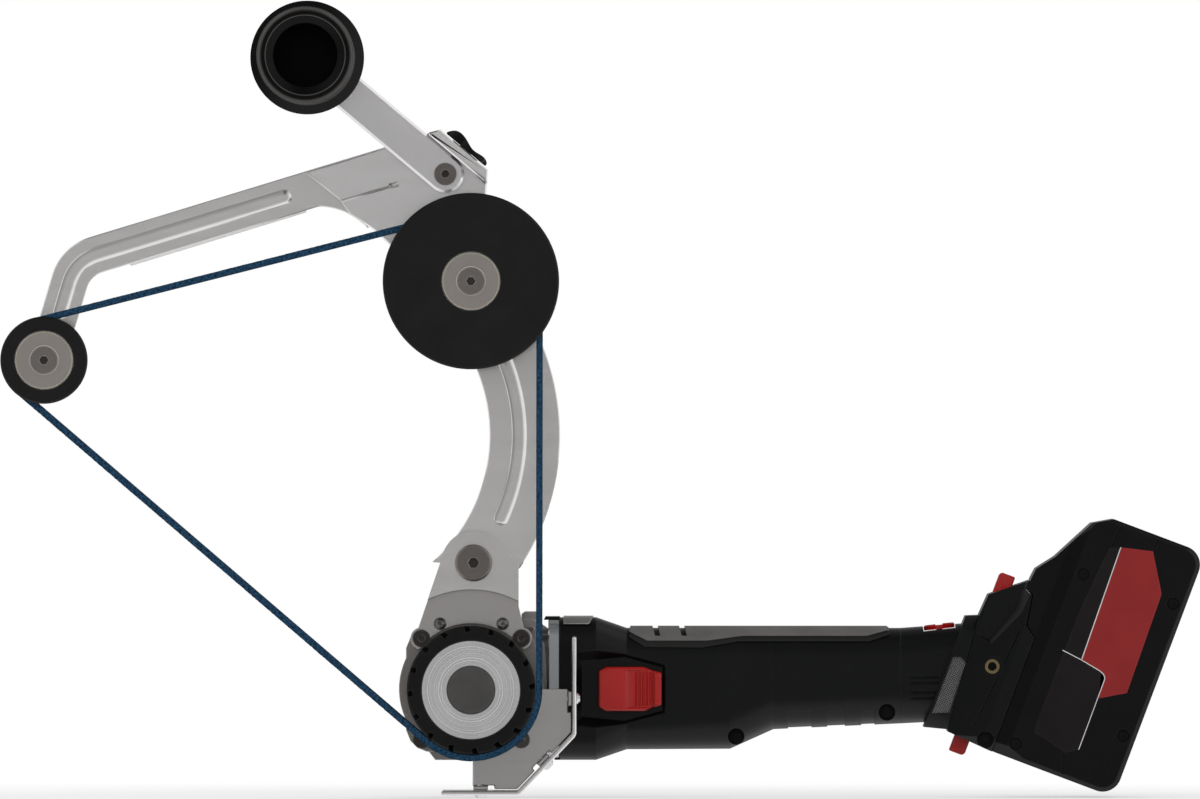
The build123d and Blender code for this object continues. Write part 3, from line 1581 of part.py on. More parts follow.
# Belt arm: curved arm up to the top roller, with a rolled bead
arm_foot = (arm_pivot_x + 1.8, arm_pivot_z - 1.5)
arm_head = (top_roller_x - 3.5, top_roller_z - 3.6)
bow_x, bow_z = arc_centre(arm_foot, arm_head, curved_arm_radius)
bow_inner = curved_arm_radius - curved_arm_width / 2
bow_outer = curved_arm_radius + curved_arm_width / 2
bow_low_inner = degrees(atan2(arm_pivot_z - bow_z, arm_pivot_x - 19.2 - bow_x))
bow_low_outer = degrees(atan2(arm_pivot_z - 2.8 - bow_z, arm_pivot_x + 21.4 - bow_x))
bow_high = degrees(atan2(top_roller_z - bow_z, top_roller_x - bow_x))
arm_lobe = 10.3
axle_lobe = 16.0
bead_line_radius = curved_arm_radius - 2.6
bead_low = bow_low_outer + 9.3
bead_high = bow_high - 18


def on_bow(radius, angle):
    """Point of the curved arm at one radius and angle."""
    return bow_x + radius * cos(radians(angle)), bow_z + radius * sin(radians(angle))


with BuildPart() as curved_arm:
    with BuildSketch(front(arm_back)):
        with BuildLine():
            CenterArc((bow_x, bow_z), bow_outer, bow_low_outer, bow_high - bow_low_outer)
            Line(on_bow(bow_outer, bow_high), on_bow(bow_inner, bow_high))
            CenterArc((bow_x, bow_z), bow_inner, bow_high, bow_low_inner - bow_high)
            Line(on_bow(bow_inner, bow_low_inner), on_bow(bow_outer, bow_low_outer))
        make_face()
        with Locations((arm_pivot_x, arm_pivot_z)):
            Circle(arm_lobe)
        with Locations((top_roller_x, top_roller_z)):
            Circle(axle_lobe)
            Circle(axle_radius, mode=Mode.SUBTRACT)
        with Locations((arm_pivot_x, arm_pivot_z)):
            Circle(bush_radius + running_clearance, mode=Mode.SUBTRACT)
    extrude(amount=sheet)
    with BuildSketch(front(arm_front)):
        with BuildLine():
            bead_outer = bead_line_radius + bead_width / 2
            bead_inner = bead_line_radius - bead_width / 2
            CenterArc((bow_x, bow_z), bead_outer, bead_low, bead_high - bead_low)
            Line(on_bow(bead_outer, bead_high), on_bow(bead_inner, bead_high))
            CenterArc((bow_x, bow_z), bead_inner, bead_high, bead_low - bead_high)
            Line(on_bow(bead_inner, bead_low), on_bow(bead_outer, bead_low))
        make_face()
        with Locations(on_bow(bead_line_radius, bead_low)):
            Circle(bead_width / 2)
    extrude(amount=bead_height)
    chamfer(curved_arm.faces().sort_by(Axis.Y)[0].edges(), bead_height * 0.8)
finish(curved_arm, "curved_arm")

# Reach arm: stamped strip from the head down to the tip roller
reach_bend = (tip_roller_x + 13.9, tip_roller_z + 46.6)
reach_end = (handle_pivot_x - 27.8, handle_pivot_z + 3.6)
reach_line = [(tip_roller_x, tip_roller_z), reach_bend, reach_end]
reach_heading = atan2(reach_end[1] - reach_bend[1], reach_end[0] - reach_bend[0])
reach_outer_bend = 26.0
reach_inner_bend = 10.5
bead_bend = reach_inner_bend + (reach_arm_width - bead_width) / 2
tip_lobe = 10.5
bead_end_gap = 50.0
bead_start_gap = 24.0
leg_heading = atan2(reach_bend[1] - tip_roller_z, reach_bend[0] - tip_roller_x)
bead_start = (
    tip_roller_x + bead_start_gap * cos(leg_heading),
    tip_roller_z + bead_start_gap * sin(leg_heading),
)
bead_end = (
    reach_end[0] - bead_end_gap * cos(reach_heading),
    reach_end[1] - bead_end_gap * sin(reach_heading),
)
lip_sheet = 1.5
lip_depth = 5.0
lip_start_gap = 24.0
lip_end_gap = 42.0
lip_show = 0.9
lip_drop = reach_arm_width / 2 - lip_sheet / 2 + lip_show
web_start = (handle_pivot_x - 60.0, handle_pivot_z - 15.4)
web_middle = (handle_pivot_x - 44.3, handle_pivot_z - 19.4)
web_end = (handle_pivot_x - 36.2, handle_pivot_z - 25.8)
web_back = (handle_pivot_x - 32.0, handle_pivot_z - 4.0)


def below_reach(along_from, gap):
    """Point on the lower edge of the reach arm's straight run."""
    x = along_from[0] + gap * cos(reach_heading) + lip_drop * sin(reach_heading)
    z = along_from[1] + gap * sin(reach_heading) - lip_drop * cos(reach_heading)
    return x, z


with BuildPart() as reach_arm:
    with BuildSketch(front(arm_back)) as reach_outline:
        Polygon(*ribbon(reach_line, reach_arm_width), align=None)
        bends = reach_outline.vertices().sort_by_distance((reach_bend[0], reach_bend[1], 0))
        fillet(bends[:2].sort_by(Axis.Y)[-1:], reach_outer_bend)
        bends = reach_outline.vertices().sort_by_distance((reach_bend[0] + 8, reach_bend[1] - 8, 0))
        fillet(bends[:1], reach_inner_bend)
        with Locations((tip_roller_x, tip_roller_z)):
            Circle(tip_lobe)
            Circle(axle_radius, mode=Mode.SUBTRACT)
        with BuildLine():
            ThreePointArc(web_start, web_middle, web_end)
            Polyline(web_end, web_back, web_start)
        make_face()
    extrude(amount=sheet)
    with BuildSketch(front(arm_front)) as bead_outline:
        Polygon(*ribbon([bead_start, reach_bend, bead_end], bead_width), align=None)
        bead_bends = bead_outline.vertices().sort_by_distance((reach_bend[0], reach_bend[1], 0))[:2]
        fillet(bead_bends.sort_by(Axis.Y)[-1:], bead_bend + bead_width)
        inner_bend = bead_outline.vertices().sort_by_distance((reach_bend[0] + 3, reach_bend[1] - 3, 0))
        fillet(inner_bend[:1], bead_bend)
        with Locations(bead_start, bead_end):
            Circle(bead_width / 2)
    extrude(amount=bead_height)
    chamfer(reach_arm.faces().sort_by(Axis.Y)[0].edges(), bead_height * 0.8)
    lip = ribbon([below_reach(reach_bend, lip_start_gap), below_reach(reach_end, -lip_end_gap)], lip_sheet)
    plate(lip, arm_back - lip_depth, arm_back)
finish(reach_arm, "reach_arm")

# Head bracket: joins both arms at the top roller and carries the handle and its clamp
clamp_heading = handle_angle - 90
clamp_distance = 14.5
clamp_block_start = bar_width / 2 + swing_gap
clamp_half_length = 14.0
clamp_block_height = 12.5
clamp_block_bevel = 0.5
clamp_hole_overrun = 1.0
clamp_depth = (bar_back + bar_front) / 2
clamp_stud_radius = 3.0
crease_start = (handle_pivot_x - 49.6, handle_pivot_z - 13.1)
crease_end = (handle_pivot_x - 25.7, handle_pivot_z - 5.7)
slit_end = (handle_pivot_x - 22.4, handle_pivot_z - 4.7)
slit_width = 1.3
fold_width = 0.6
fold_depth = 0.4
clamp_x = cos(radians(clamp_heading))
clamp_z = sin(radians(clamp_heading))


def from_handle(out, along):
    """Point at a distance out of the handle pivot towards the clamp, and along its flange."""
    x = handle_pivot_x + out * clamp_x + along * clamp_z
    z = handle_pivot_z + out * clamp_z - along * clamp_x
    return x, z


head_outline = [
    (handle_pivot_x - 65.6, handle_pivot_z + 0.8),
    (handle_pivot_x - 29.5, handle_pivot_z + 12.0),
    (handle_pivot_x - 7.4, handle_pivot_z + 19.4),
    from_handle(clamp_distance, -clamp_half_length - 1),
    from_handle(clamp_distance, clamp_half_length),
    (handle_pivot_x + 19.3, handle_pivot_z - 9.2),
    (top_roller_x + axle_lobe, top_roller_z + 8),
    (top_roller_x + axle_lobe - 4, top_roller_z - 10),
    (top_roller_x - axle_lobe + 2, top_roller_z - 8),
    (handle_pivot_x - 26.1, handle_pivot_z - 33.5),
    (handle_pivot_x - 34.2, handle_pivot_z - 26.0),
    (handle_pivot_x - 44.7, handle_pivot_z - 19.0),
    (handle_pivot_x - 50.0, handle_pivot_z - 12.0),
]

with BuildPart() as head_bracket:
    with BuildSketch(front(arm_front)):
        Polygon(*head_outline, align=None)
        with Locations((top_roller_x, top_roller_z)):
            Circle(axle_lobe + 1)
            Circle(axle_radius, mode=Mode.SUBTRACT)
        with Locations((handle_pivot_x, handle_pivot_z)):
            Circle(handle_pivot_radius, mode=Mode.SUBTRACT)
        with BuildLine():
            Polyline(*ribbon([bead_start, reach_bend, bead_end], bead_width + 1), close=True)
        make_face(mode=Mode.SUBTRACT)
        with Locations(bead_end):
            Circle(bead_width / 2 + 0.5, mode=Mode.SUBTRACT)
    extrude(amount=sheet)
    fold = ribbon([crease_start, crease_end], fold_width)
    plate(fold, head_front - fold_depth, head_front, Mode.SUBTRACT)
    plate(ribbon([crease_end, slit_end], slit_width), head_front - sheet / 2, head_front, Mode.SUBTRACT)
    with BuildSketch(front(head_front)):
        Polygon(*head_outline, align=None)
        clamp_block = [
            from_handle(clamp_block_start, -2 * clamp_half_length),
            from_handle(clamp_distance, -2 * clamp_half_length),
            from_handle(clamp_distance, 2 * clamp_half_length),
            from_handle(clamp_block_start, 2 * clamp_half_length),
        ]
        Polygon(*clamp_block, align=None, mode=Mode.INTERSECT)
    extrude(amount=clamp_block_height)
    chamfer(head_bracket.faces().sort_by(Axis.Y)[0].edges(), clamp_block_bevel)
    clamp_origin_x, clamp_origin_z = from_handle(clamp_block_start - clamp_hole_overrun, 0)
    clamp_origin = (spindle_x + clamp_origin_x, spindle_y - clamp_depth, spindle_z + clamp_origin_z)
    with BuildSketch(Plane(origin=clamp_origin, x_dir=(0, 1, 0), z_dir=(clamp_x, 0, clamp_z))):
        Circle(clamp_stud_radius + running_clearance)
    extrude(amount=clamp_distance - clamp_block_start + 2 * clamp_hole_overrun, mode=Mode.SUBTRACT)
finish(head_bracket, "head_bracket")

# Idler rollers: axle bolt in the arm, two bearings, crowned drum, front disc, hub washer and screw
bearing_inset = 1.0
axle_nut_radius = 8.0
axle_nut_height = 4.0
drum_bore = 10.5
disc_chamfer = 0.7
washer_back = hub_front - hub_washer_thickness
screw_recess = 1.2


def axle(x, z, carrier_front):
    """Fixed axle: nut behind the arm, shoulder in front of it, plain end under the hub washer."""
    shoulder_end = roller_back + bearing_inset - swing_gap
    turn(
        x,
        z,
        [
            (arm_back - axle_nut_height, 0),
            (arm_back - axle_nut_height, axle_nut_radius),
            (arm_back, axle_nut_radius),
            (arm_back, axle_radius),
            (carrier_front, axle_radius),
            (carrier_front, axle_shoulder_radius),
            (shoulder_end, axle_shoulder_radius),
            (shoulder_end, axle_radius),
            (washer_back, axle_radius),
            (washer_back, 0),
        ],
    )


def drum(x, z, radius):
    """Crowned roller with a bearing seat at each end."""
    seat = bearing_inset + bearing_width
    turn(
        x,
        z,
        [
            (roller_back, bearing_radius),
            (roller_back, radius - roller_crown),
            ((roller_back + roller_front) / 2, radius),
            (roller_front, radius - roller_crown),
            (roller_front, bearing_radius),
            (roller_front - seat, bearing_radius),
            (roller_front - seat, drum_bore),
            (roller_back + seat, drum_bore),
            (roller_back + seat, bearing_radius),
        ],
    )


def bearing_pair(x, z):
    """Two ball bearings, drawn as plain rings."""
    for back in (roller_back + bearing_inset, roller_front - bearing_inset - bearing_width):
        turn(
            x,
            z,
            [
                (back, axle_radius + running_clearance),
                (back, bearing_radius),
                (back + bearing_width, bearing_radius),
                (back + bearing_width, axle_radius + running_clearance),
            ],
        )


def front_disc(x, z, radius):
    """Disc on the front of a roller that keeps the belt on it."""
    hole = hub_washer_radius + turning_gap
    turn(
        x,
        z,
        [
            (roller_front, hole),
            (roller_front, radius - disc_chamfer),
            (roller_front + disc_chamfer, radius),
            (disc_front - disc_chamfer, radius),
            (disc_front, radius - disc_chamfer),
            (disc_front, hole),
        ],
    )


def hub_screw(x, z):
    """Low round screw head with a hexagon socket on the hub washer."""
    with BuildSketch(front(hub_front)) as head:
        with Locations((x, z)):
            Circle(axle_screw_radius)
    extrude(head.sketch, amount=axle_screw_height)
    with BuildSketch(front(hub_front + axle_screw_height - screw_recess)) as socket:
        with Locations((x, z)):
            RegularPolygon(axle_screw_radius * 0.33, 6)
    extrude(socket.sketch, amount=screw_recess, mode=Mode.SUBTRACT)


with BuildPart() as roller_axles:
    axle(top_roller_x, top_roller_z, head_front)
    axle(tip_roller_x, tip_roller_z, arm_front)
finish(roller_axles, "roller_axles")

with BuildPart() as hub_washers:
    for x, z in ((top_roller_x, top_roller_z), (tip_roller_x, tip_roller_z)):
        post(x, z, hub_washer_radius, washer_back, hub_front)
finish(hub_washers, "hub_washers")

with BuildPart() as arm_screws:
    hub_screw(top_roller_x, top_roller_z)
    hub_screw(tip_roller_x, tip_roller_z)
    head_back = bar_front + swing_gap
    head_face = head_back + handle_pivot_head_height
    post(handle_pivot_x, handle_pivot_z, handle_pivot_radius, arm_front, head_back)
    post(handle_pivot_x, handle_pivot_z, handle_pivot_head_radius, head_back, head_face)
    with BuildSketch(front(head_face - 1)):
        with Locations((handle_pivot_x, handle_pivot_z)):
            RegularPolygon(handle_pivot_head_radius * 0.38, 6)
    extrude(amount=1, mode=Mode.SUBTRACT)
finish(arm_screws, "arm_screws")

with BuildPart() as top_roller_drum:
    drum(top_roller_x, top_roller_z, top_roller_radius)
finish(top_roller_drum, "top_roller_drum")

with BuildPart() as top_roller_disc:
    front_disc(top_roller_x, top_roller_z, top_disc_radius)
finish(top_roller_disc, "top_roller_disc")

with BuildPart() as top_roller_bearings:
    bearing_pair(top_roller_x, top_roller_z)
finish(top_roller_bearings, "top_roller_bearings")

with BuildPart() as tip_roller_drum:
    drum(tip_roller_x, tip_roller_z, tip_roller_radius)
finish(tip_roller_drum, "tip_roller_drum")

with BuildPart() as tip_roller_disc:
    front_disc(tip_roller_x, tip_roller_z, tip_disc_radius)
finish(tip_roller_disc, "tip_roller_disc")

with BuildPart() as tip_roller_bearings:
    bearing_pair(tip_roller_x, tip_roller_z)
finish(tip_roller_bearings, "tip_roller_bearings")

# Abrasive belt: one loop round the three rollers, in the order drive, top, tip
belt_wheels = [
    (0.0, 0.0, drive_radius + belt_clearance),
    (top_roller_x, top_roller_z, top_roller_radius + belt_clearance),
    (tip_roller_x, tip_roller_z, tip_roller_radius + belt_clearance),
]


def leaving_angle(wheel, next_wheel):
    """Angle on both wheels where the belt runs straight from one to the next."""
    span = hypot(next_wheel[0] - wheel[0], next_wheel[1] - wheel[1])
    heading = atan2(next_wheel[1] - wheel[1], next_wheel[0] - wheel[0])
    return degrees(heading - acos((wheel[2] - next_wheel[2]) / span))


def on_wheel(wheel, angle, grow):
    """Point of a wheel's rim at one angle, grown outwards."""
    radius = wheel[2] + grow
    return wheel[0] + radius * cos(radians(angle)), wheel[1] + radius * sin(radians(angle))


belt_angles = [
    leaving_angle(belt_wheels[index], belt_wheels[(index + 1) % len(belt_wheels)])
    for index in range(len(belt_wheels))
]

with BuildPart() as abrasive_belt:
    for grow, mode in ((belt_thickness, Mode.ADD), (0, Mode.SUBTRACT)):
        with BuildSketch(front(belt_back)):
            with BuildLine():
                for index, wheel in enumerate(belt_wheels):
                    arrive = belt_angles[index - 1]
                    wrap = (belt_angles[index] - arrive) % 360
                    next_wheel = belt_wheels[(index + 1) % len(belt_wheels)]
                    CenterArc((wheel[0], wheel[1]), wheel[2] + grow, arrive, wrap)
                    Line(
                        on_wheel(wheel, belt_angles[index], grow),
                        on_wheel(next_wheel, belt_angles[index], grow),
                    )
            make_face()
        extrude(amount=belt_width, mode=mode)
finish(abrasive_belt, "abrasive_belt")

# Handle: flat bar with a welded stud on its pivot screw, and a hollow-ended grip towards the viewer
grip_x = handle_pivot_x + handle_reach * cos(radians(handle_angle))
grip_z = handle_pivot_z + handle_reach * sin(radians(handle_angle))
bar_bevel = 1.2
stud_reach = 68.0

with BuildPart() as handle_bar:
    with BuildSketch(front(bar_back)):
        with Locations(
            Location(((handle_pivot_x + grip_x) / 2, (handle_pivot_z + grip_z) / 2), handle_angle)
        ):
            SlotCenterToCenter(handle_reach, bar_width)
        with Locations((handle_pivot_x, handle_pivot_z)):
            Circle(handle_pivot_radius + running_clearance, mode=Mode.SUBTRACT)
    extrude(amount=bar_thickness)
    rim = handle_bar.faces().sort_by(Axis.Y)[0].outer_wire().edges()
    chamfer(rim, bar_bevel)
    post(grip_x, grip_z, grip_stud_radius, bar_front, bar_front + stud_reach)
finish(handle_bar, "handle_bar")

grip_end_radius = 22.6
grip_waist_radius = 17.5
grip_lip_radius = 19.0
with BuildPart() as handle_grip:
    plane = axle_plane(grip_x, grip_z)
    grip_back = bar_front
    grip_front = bar_front + grip_length
    with BuildSketch(plane):
        with BuildLine():
            Polyline(
                (grip_back + stud_reach, 0),
                (grip_back + stud_reach, grip_stud_radius),
                (grip_back, grip_stud_radius),
                (grip_back, grip_flange_radius - 1.5),
                (grip_back + 1.5, grip_flange_radius),
                (grip_back + 5, grip_flange_radius),
                (grip_back + 8, grip_waist_radius + 2),
                (grip_back + 14, grip_waist_radius),
            )
            Spline(
                (grip_back + 14, grip_waist_radius),
                (grip_back + 0.45 * grip_length, grip_radius),
                (grip_front - 16, grip_lip_radius),
            )
            Polyline(
                (grip_front - 16, grip_lip_radius),
                (grip_front - 9, grip_end_radius),
                (grip_front - 2, grip_end_radius),
                (grip_front, grip_radius),
                (grip_front, grip_lip_radius),
                (grip_front - 3, grip_mouth_radius),
                (grip_front - grip_mouth_depth, grip_mouth_radius),
                (grip_front - grip_mouth_depth, 0),
                (grip_back + stud_reach, 0),
            )
        make_face()
    revolve(axis=Axis(plane.origin, plane.x_dir))
finish(handle_grip, "handle_grip")

# Clamp: star knob outside the flange, its stud reaching the bar's round end
knob_radius = 12.0
knob_height = 5.2
knob_lobes = 5
knob_scoop = 4.2
knob_crest = [(-1.0, 0.8), (-0.5, 4.6), (-0.14, 3.6), (0.26, 2.2), (0.8, 2.7), (1.0, 1.2)]
knob_back = clamp_distance + swing_gap
knob_x, knob_z = from_handle(knob_back, 0)
stud_x, stud_z = from_handle(bar_width / 2 + swing_gap, 0)
knob_plane = Plane(
    origin=(spindle_x + knob_x, spindle_y - clamp_depth, spindle_z + knob_z),
    x_dir=(0, 1, 0),
    z_dir=(clamp_x, 0, clamp_z),
)
clamp_stud_plane = Plane(
    origin=(spindle_x + stud_x, spindle_y - clamp_depth, spindle_z + stud_z),
    x_dir=(0, 1, 0),
    z_dir=(clamp_x, 0, clamp_z),
)

with BuildPart() as clamp_knob:
    with BuildSketch(knob_plane):
        Circle(knob_radius)
        with PolarLocations(knob_radius + knob_scoop * 0.55, knob_lobes, start_angle=36):
            Circle(knob_scoop, mode=Mode.SUBTRACT)
    extrude(amount=knob_height)
    with BuildSketch(front(clamp_depth - knob_radius)):
        with BuildLine():
            crest_points = [from_handle(knob_back + rise, share * knob_radius) for share, rise in knob_crest]
            crest = Spline(*crest_points)
            Polyline(
                crest @ 1,
                from_handle(knob_back, knob_radius),
                from_handle(knob_back, -knob_radius),
                crest @ 0,
            )
        make_face()
    extrude(amount=2 * knob_radius, mode=Mode.INTERSECT)
    with BuildSketch(clamp_stud_plane):
        Circle(clamp_stud_radius)
    extrude(amount=knob_back - bar_width / 2 - swing_gap)
finish(clamp_knob, "clamp_knob")
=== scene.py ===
import json
import math

import bpy
import bmesh
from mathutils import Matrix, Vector, noise


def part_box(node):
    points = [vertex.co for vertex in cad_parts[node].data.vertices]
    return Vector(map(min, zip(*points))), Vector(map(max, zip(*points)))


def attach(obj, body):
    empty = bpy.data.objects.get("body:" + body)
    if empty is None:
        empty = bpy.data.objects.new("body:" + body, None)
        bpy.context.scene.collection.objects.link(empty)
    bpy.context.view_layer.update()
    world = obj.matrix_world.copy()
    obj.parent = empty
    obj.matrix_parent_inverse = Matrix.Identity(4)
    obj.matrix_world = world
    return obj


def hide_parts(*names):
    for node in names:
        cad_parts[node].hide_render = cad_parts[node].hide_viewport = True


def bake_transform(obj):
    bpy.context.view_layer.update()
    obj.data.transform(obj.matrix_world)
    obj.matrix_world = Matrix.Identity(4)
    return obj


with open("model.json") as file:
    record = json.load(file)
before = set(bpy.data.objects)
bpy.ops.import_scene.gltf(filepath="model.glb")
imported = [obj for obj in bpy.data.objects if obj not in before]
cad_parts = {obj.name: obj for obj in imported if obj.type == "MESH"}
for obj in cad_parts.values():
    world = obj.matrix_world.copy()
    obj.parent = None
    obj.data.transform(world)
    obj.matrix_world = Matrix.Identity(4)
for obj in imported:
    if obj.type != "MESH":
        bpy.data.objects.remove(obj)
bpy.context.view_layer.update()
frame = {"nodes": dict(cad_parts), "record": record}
nodes = frame["nodes"]
record = frame["record"]
slot_of = {row["node"]: row["material_slot"] for row in record["subparts"]}
body_of = {node: body for body, carried in record["behaviour"]["bodies"].items() for node in carried}

MM = 0.001


# Places read from the frame: middles and radii of the rollers, and the belt's box

def round_part(node):
    """Middle and radius of a part that is round in the side view."""
    low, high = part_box(node)
    return (low + high) / 2, (high.x - low.x) / 2


drive, drive_radius = round_part("drive_tyre")
top, top_radius = round_part("top_roller_drum")
tip, tip_radius = round_part("tip_roller_drum")
belt_low, belt_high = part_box("abrasive_belt")


# Nodes that the materials are made of

def opened(mat):
    """Tree and shader of a material, and an object-space coordinate in it."""
    tree = mat.node_tree
    coord = tree.nodes.new("ShaderNodeTexCoord")
    return tree, tree.nodes["Principled BSDF"], coord.outputs["Object"]


def node_tree(name):
    """New material with its tree, its shader and an object-space coordinate."""
    mat = bpy.data.materials.new(name)
    mat.use_nodes = True
    return mat, *opened(mat)


def feeding(shader, name):
    """What is linked to one of the shader's sockets."""
    return shader.inputs[name].links[0].from_socket


def noise_node(tree, coord, scale, detail=3.0, stretch=(1, 1, 1)):
    """Noise in object space, stretched along the axes where the finish has a direction."""
    mapping = tree.nodes.new("ShaderNodeMapping")
    mapping.inputs["Scale"].default_value = stretch
    tree.links.new(coord, mapping.inputs["Vector"])
    grain = tree.nodes.new("ShaderNodeTexNoise")
    grain.inputs["Scale"].default_value = scale
    grain.inputs["Detail"].default_value = detail
    tree.links.new(mapping.outputs["Vector"], grain.inputs["Vector"])
    return grain.outputs["Fac"]


def ramp(tree, factor, first, second, start=0.35, end=0.65):
    """Two colours mixed by a factor."""
    colours = tree.nodes.new("ShaderNodeValToRGB")
    colours.color_ramp.elements[0].position = start
    colours.color_ramp.elements[0].color = (*first, 1)
    colours.color_ramp.elements[1].position = end
    colours.color_ramp.elements[1].color = (*second, 1)
    tree.links.new(factor, colours.inputs["Fac"])
    return colours.outputs["Color"]


def span(tree, factor, least, most, start=0.3, end=0.7):
    """A factor spread over a range of values."""
    spread = tree.nodes.new("ShaderNodeMapRange")
    spread.inputs["From Min"].default_value = start
    spread.inputs["From Max"].default_value = end
    spread.inputs["To Min"].default_value = least
    spread.inputs["To Max"].default_value = most
    tree.links.new(factor, spread.inputs["Value"])
    return spread.outputs["Result"]


def combined(tree, operation, first, second):
    """Two factors put together by an operation."""
    both = tree.nodes.new("ShaderNodeMath")
    both.operation = operation
    tree.links.new(first, both.inputs[0])
    tree.links.new(second, both.inputs[1])
    return both.outputs["Value"]


def axes(tree, coord):
    """The three parts of a coordinate or direction."""
    parts = tree.nodes.new("ShaderNodeSeparateXYZ")
    tree.links.new(coord, parts.inputs["Vector"])
    return parts.outputs


def from_axis(tree, coord, middle):
    """Distance from the line that runs in depth through a point."""
    away = tree.nodes.new("ShaderNodeVectorMath")
    away.operation = "SUBTRACT"
    away.inputs[1].default_value = middle
    tree.links.new(coord, away.inputs[0])
    flat = tree.nodes.new("ShaderNodeVectorMath")
    flat.operation = "MULTIPLY"
    flat.inputs[1].default_value = (1, 0, 1)
    tree.links.new(away.outputs["Vector"], flat.inputs[0])
    radius = tree.nodes.new("ShaderNodeVectorMath")
    radius.operation = "LENGTH"
    tree.links.new(flat.outputs["Vector"], radius.inputs[0])
    return radius.outputs["Value"]


def mixed(tree, factor, first, second):
    """One colour over another by a factor."""
    mix = tree.nodes.new("ShaderNodeMix")
    mix.data_type = "RGBA"
    colours = [socket for socket in mix.inputs if socket.type == "RGBA"]
    tree.links.new(factor, mix.inputs["Factor"])
    tree.links.new(first, colours[0])
    colours[1].default_value = (*second, 1)
    return [socket for socket in mix.outputs if socket.type == "RGBA"][0]


def rounded_normal(tree, radius):
    """Normal of the surface with its edges rounded."""
    rounded = tree.nodes.new("ShaderNodeBevel")
    rounded.samples = 4
    rounded.inputs["Radius"].default_value = radius
    return rounded.outputs["Normal"]


def edge_wear_and_highlight(tree, coord, radius):
    """Factor that is high along edges, broken up where handling has missed them; it marks edge wear and also
    a painted highlight along the edges.
    """
    worn_below, clean_above = 0.82, 0.97
    patch_scale = 220.0
    least_wear = 0.15
    surface = tree.nodes.new("ShaderNodeNewGeometry")
    same = tree.nodes.new("ShaderNodeVectorMath")
    same.operation = "DOT_PRODUCT"
    tree.links.new(rounded_normal(tree, radius), same.inputs[0])
    tree.links.new(surface.outputs["Normal"], same.inputs[1])
    edge = span(tree, same.outputs["Value"], 1.0, 0.0, worn_below, clean_above)
    patches = span(tree, noise_node(tree, coord, patch_scale, 4.0), least_wear, 1.0)
    return combined(tree, "MULTIPLY", edge, patches)


def relief(tree, shader, height, depth, edge):
    """Bump from a height, over edges rounded by a small radius."""
    bump = tree.nodes.new("ShaderNodeBump")
    bump.inputs["Strength"].default_value = 1.0
    bump.inputs["Distance"].default_value = depth
    tree.links.new(height, bump.inputs["Height"])
    if edge:
        tree.links.new(rounded_normal(tree, edge), bump.inputs["Normal"])
    tree.links.new(bump.outputs["Normal"], shader.inputs["Normal"])


# Materials: every slot of the record gets a node material with grain in colour, gloss and relief

# Upper edge of the soft grip's lip that is painted dark as shade, in millimetres right of and above the drive
ridge_line = [(74.0, 27.0), (82.7, 22.7), (110.6, 22.7), (127.1, 24.9), (186.0, 24.9), (195.6, 27.5)]
ridge_base = 20.0
ridge_range = 10.0

# Values that several finishes share
brushed = (1.0, 1.0, 9.0)
sheet_gloss = (0.11, 0.16)
sheet_grain = 500
smooth_relief = 0.0000004
satin_range = (0.26, 0.36)
# Lighter rubber at the edges: partly wear, partly a painted highlight.
rubber_wear_and_highlight = (0.012, 0.0118, 0.0115)


def finish(
    name, dark, light, rough, metallic=0.0, grain=900.0, depth=0.00002, stretch=(1, 1, 1), edge=0.0005,
    gloss=0.5, wear_and_highlight_colour=None, cloud=60.0,
):
    """Material of one slot: two close colours, edges painted lighter for wear and as a painted highlight, a
    roughness range and a fine relief.

    An edge of 0 leaves the edges to the mesh, for pieces with real bevels.
    """
    mat, tree, shader, coord = node_tree(name)
    fine = noise_node(tree, coord, grain, 3.0, stretch)
    colour = ramp(tree, noise_node(tree, coord, cloud, 4.0, stretch), dark, light)
    # Edges are mixed towards a lighter colour: partly wear, partly a painted highlight where edges catch the
    # light.
    if wear_and_highlight_colour and edge:
        colour = mixed(tree, edge_wear_and_highlight(tree, coord, 2 * edge), colour, wear_and_highlight_colour)
    tree.links.new(colour, shader.inputs["Base Color"])
    tree.links.new(span(tree, fine, *rough), shader.inputs["Roughness"])
    shader.inputs["Metallic"].default_value = metallic
    shader.inputs["Specular IOR Level"].default_value = gloss
    relief(tree, shader, fine, depth, edge)
    return mat


def plastic(name, dark, light, rough, gloss, wear_and_highlight_colour, depth=0.000006, edge=0.0006):
    """Moulded plastic or rubber with a fine spark-eroded grain."""
    eroded_grain = 2600
    return finish(name, dark, light, rough, 0.0, eroded_grain, depth, edge=edge, gloss=gloss, wear_and_highlight_colour=wear_and_highlight_colour)


def metal(
    name, dark, light, rough, grain=900.0, stretch=(1, 1, 1), wear_and_highlight_colour=None, depth=0.0000012, edge=0.0005,
):
    """Metal with grain or turning marks, part bare and part dulled by a thin film."""
    bare_share = 0.85
    film_gloss = 0.4
    film_clouds = 25.0
    return finish(
        name, dark, light, rough, bare_share, grain, depth, stretch, edge, film_gloss, wear_and_highlight_colour, film_clouds)


def sheet(name, dark, light):
    """Brushed sheet steel whose edges are bevelled in the mesh."""
    return metal(name, dark, light, sheet_gloss, sheet_grain, brushed, depth=smooth_relief, edge=0)


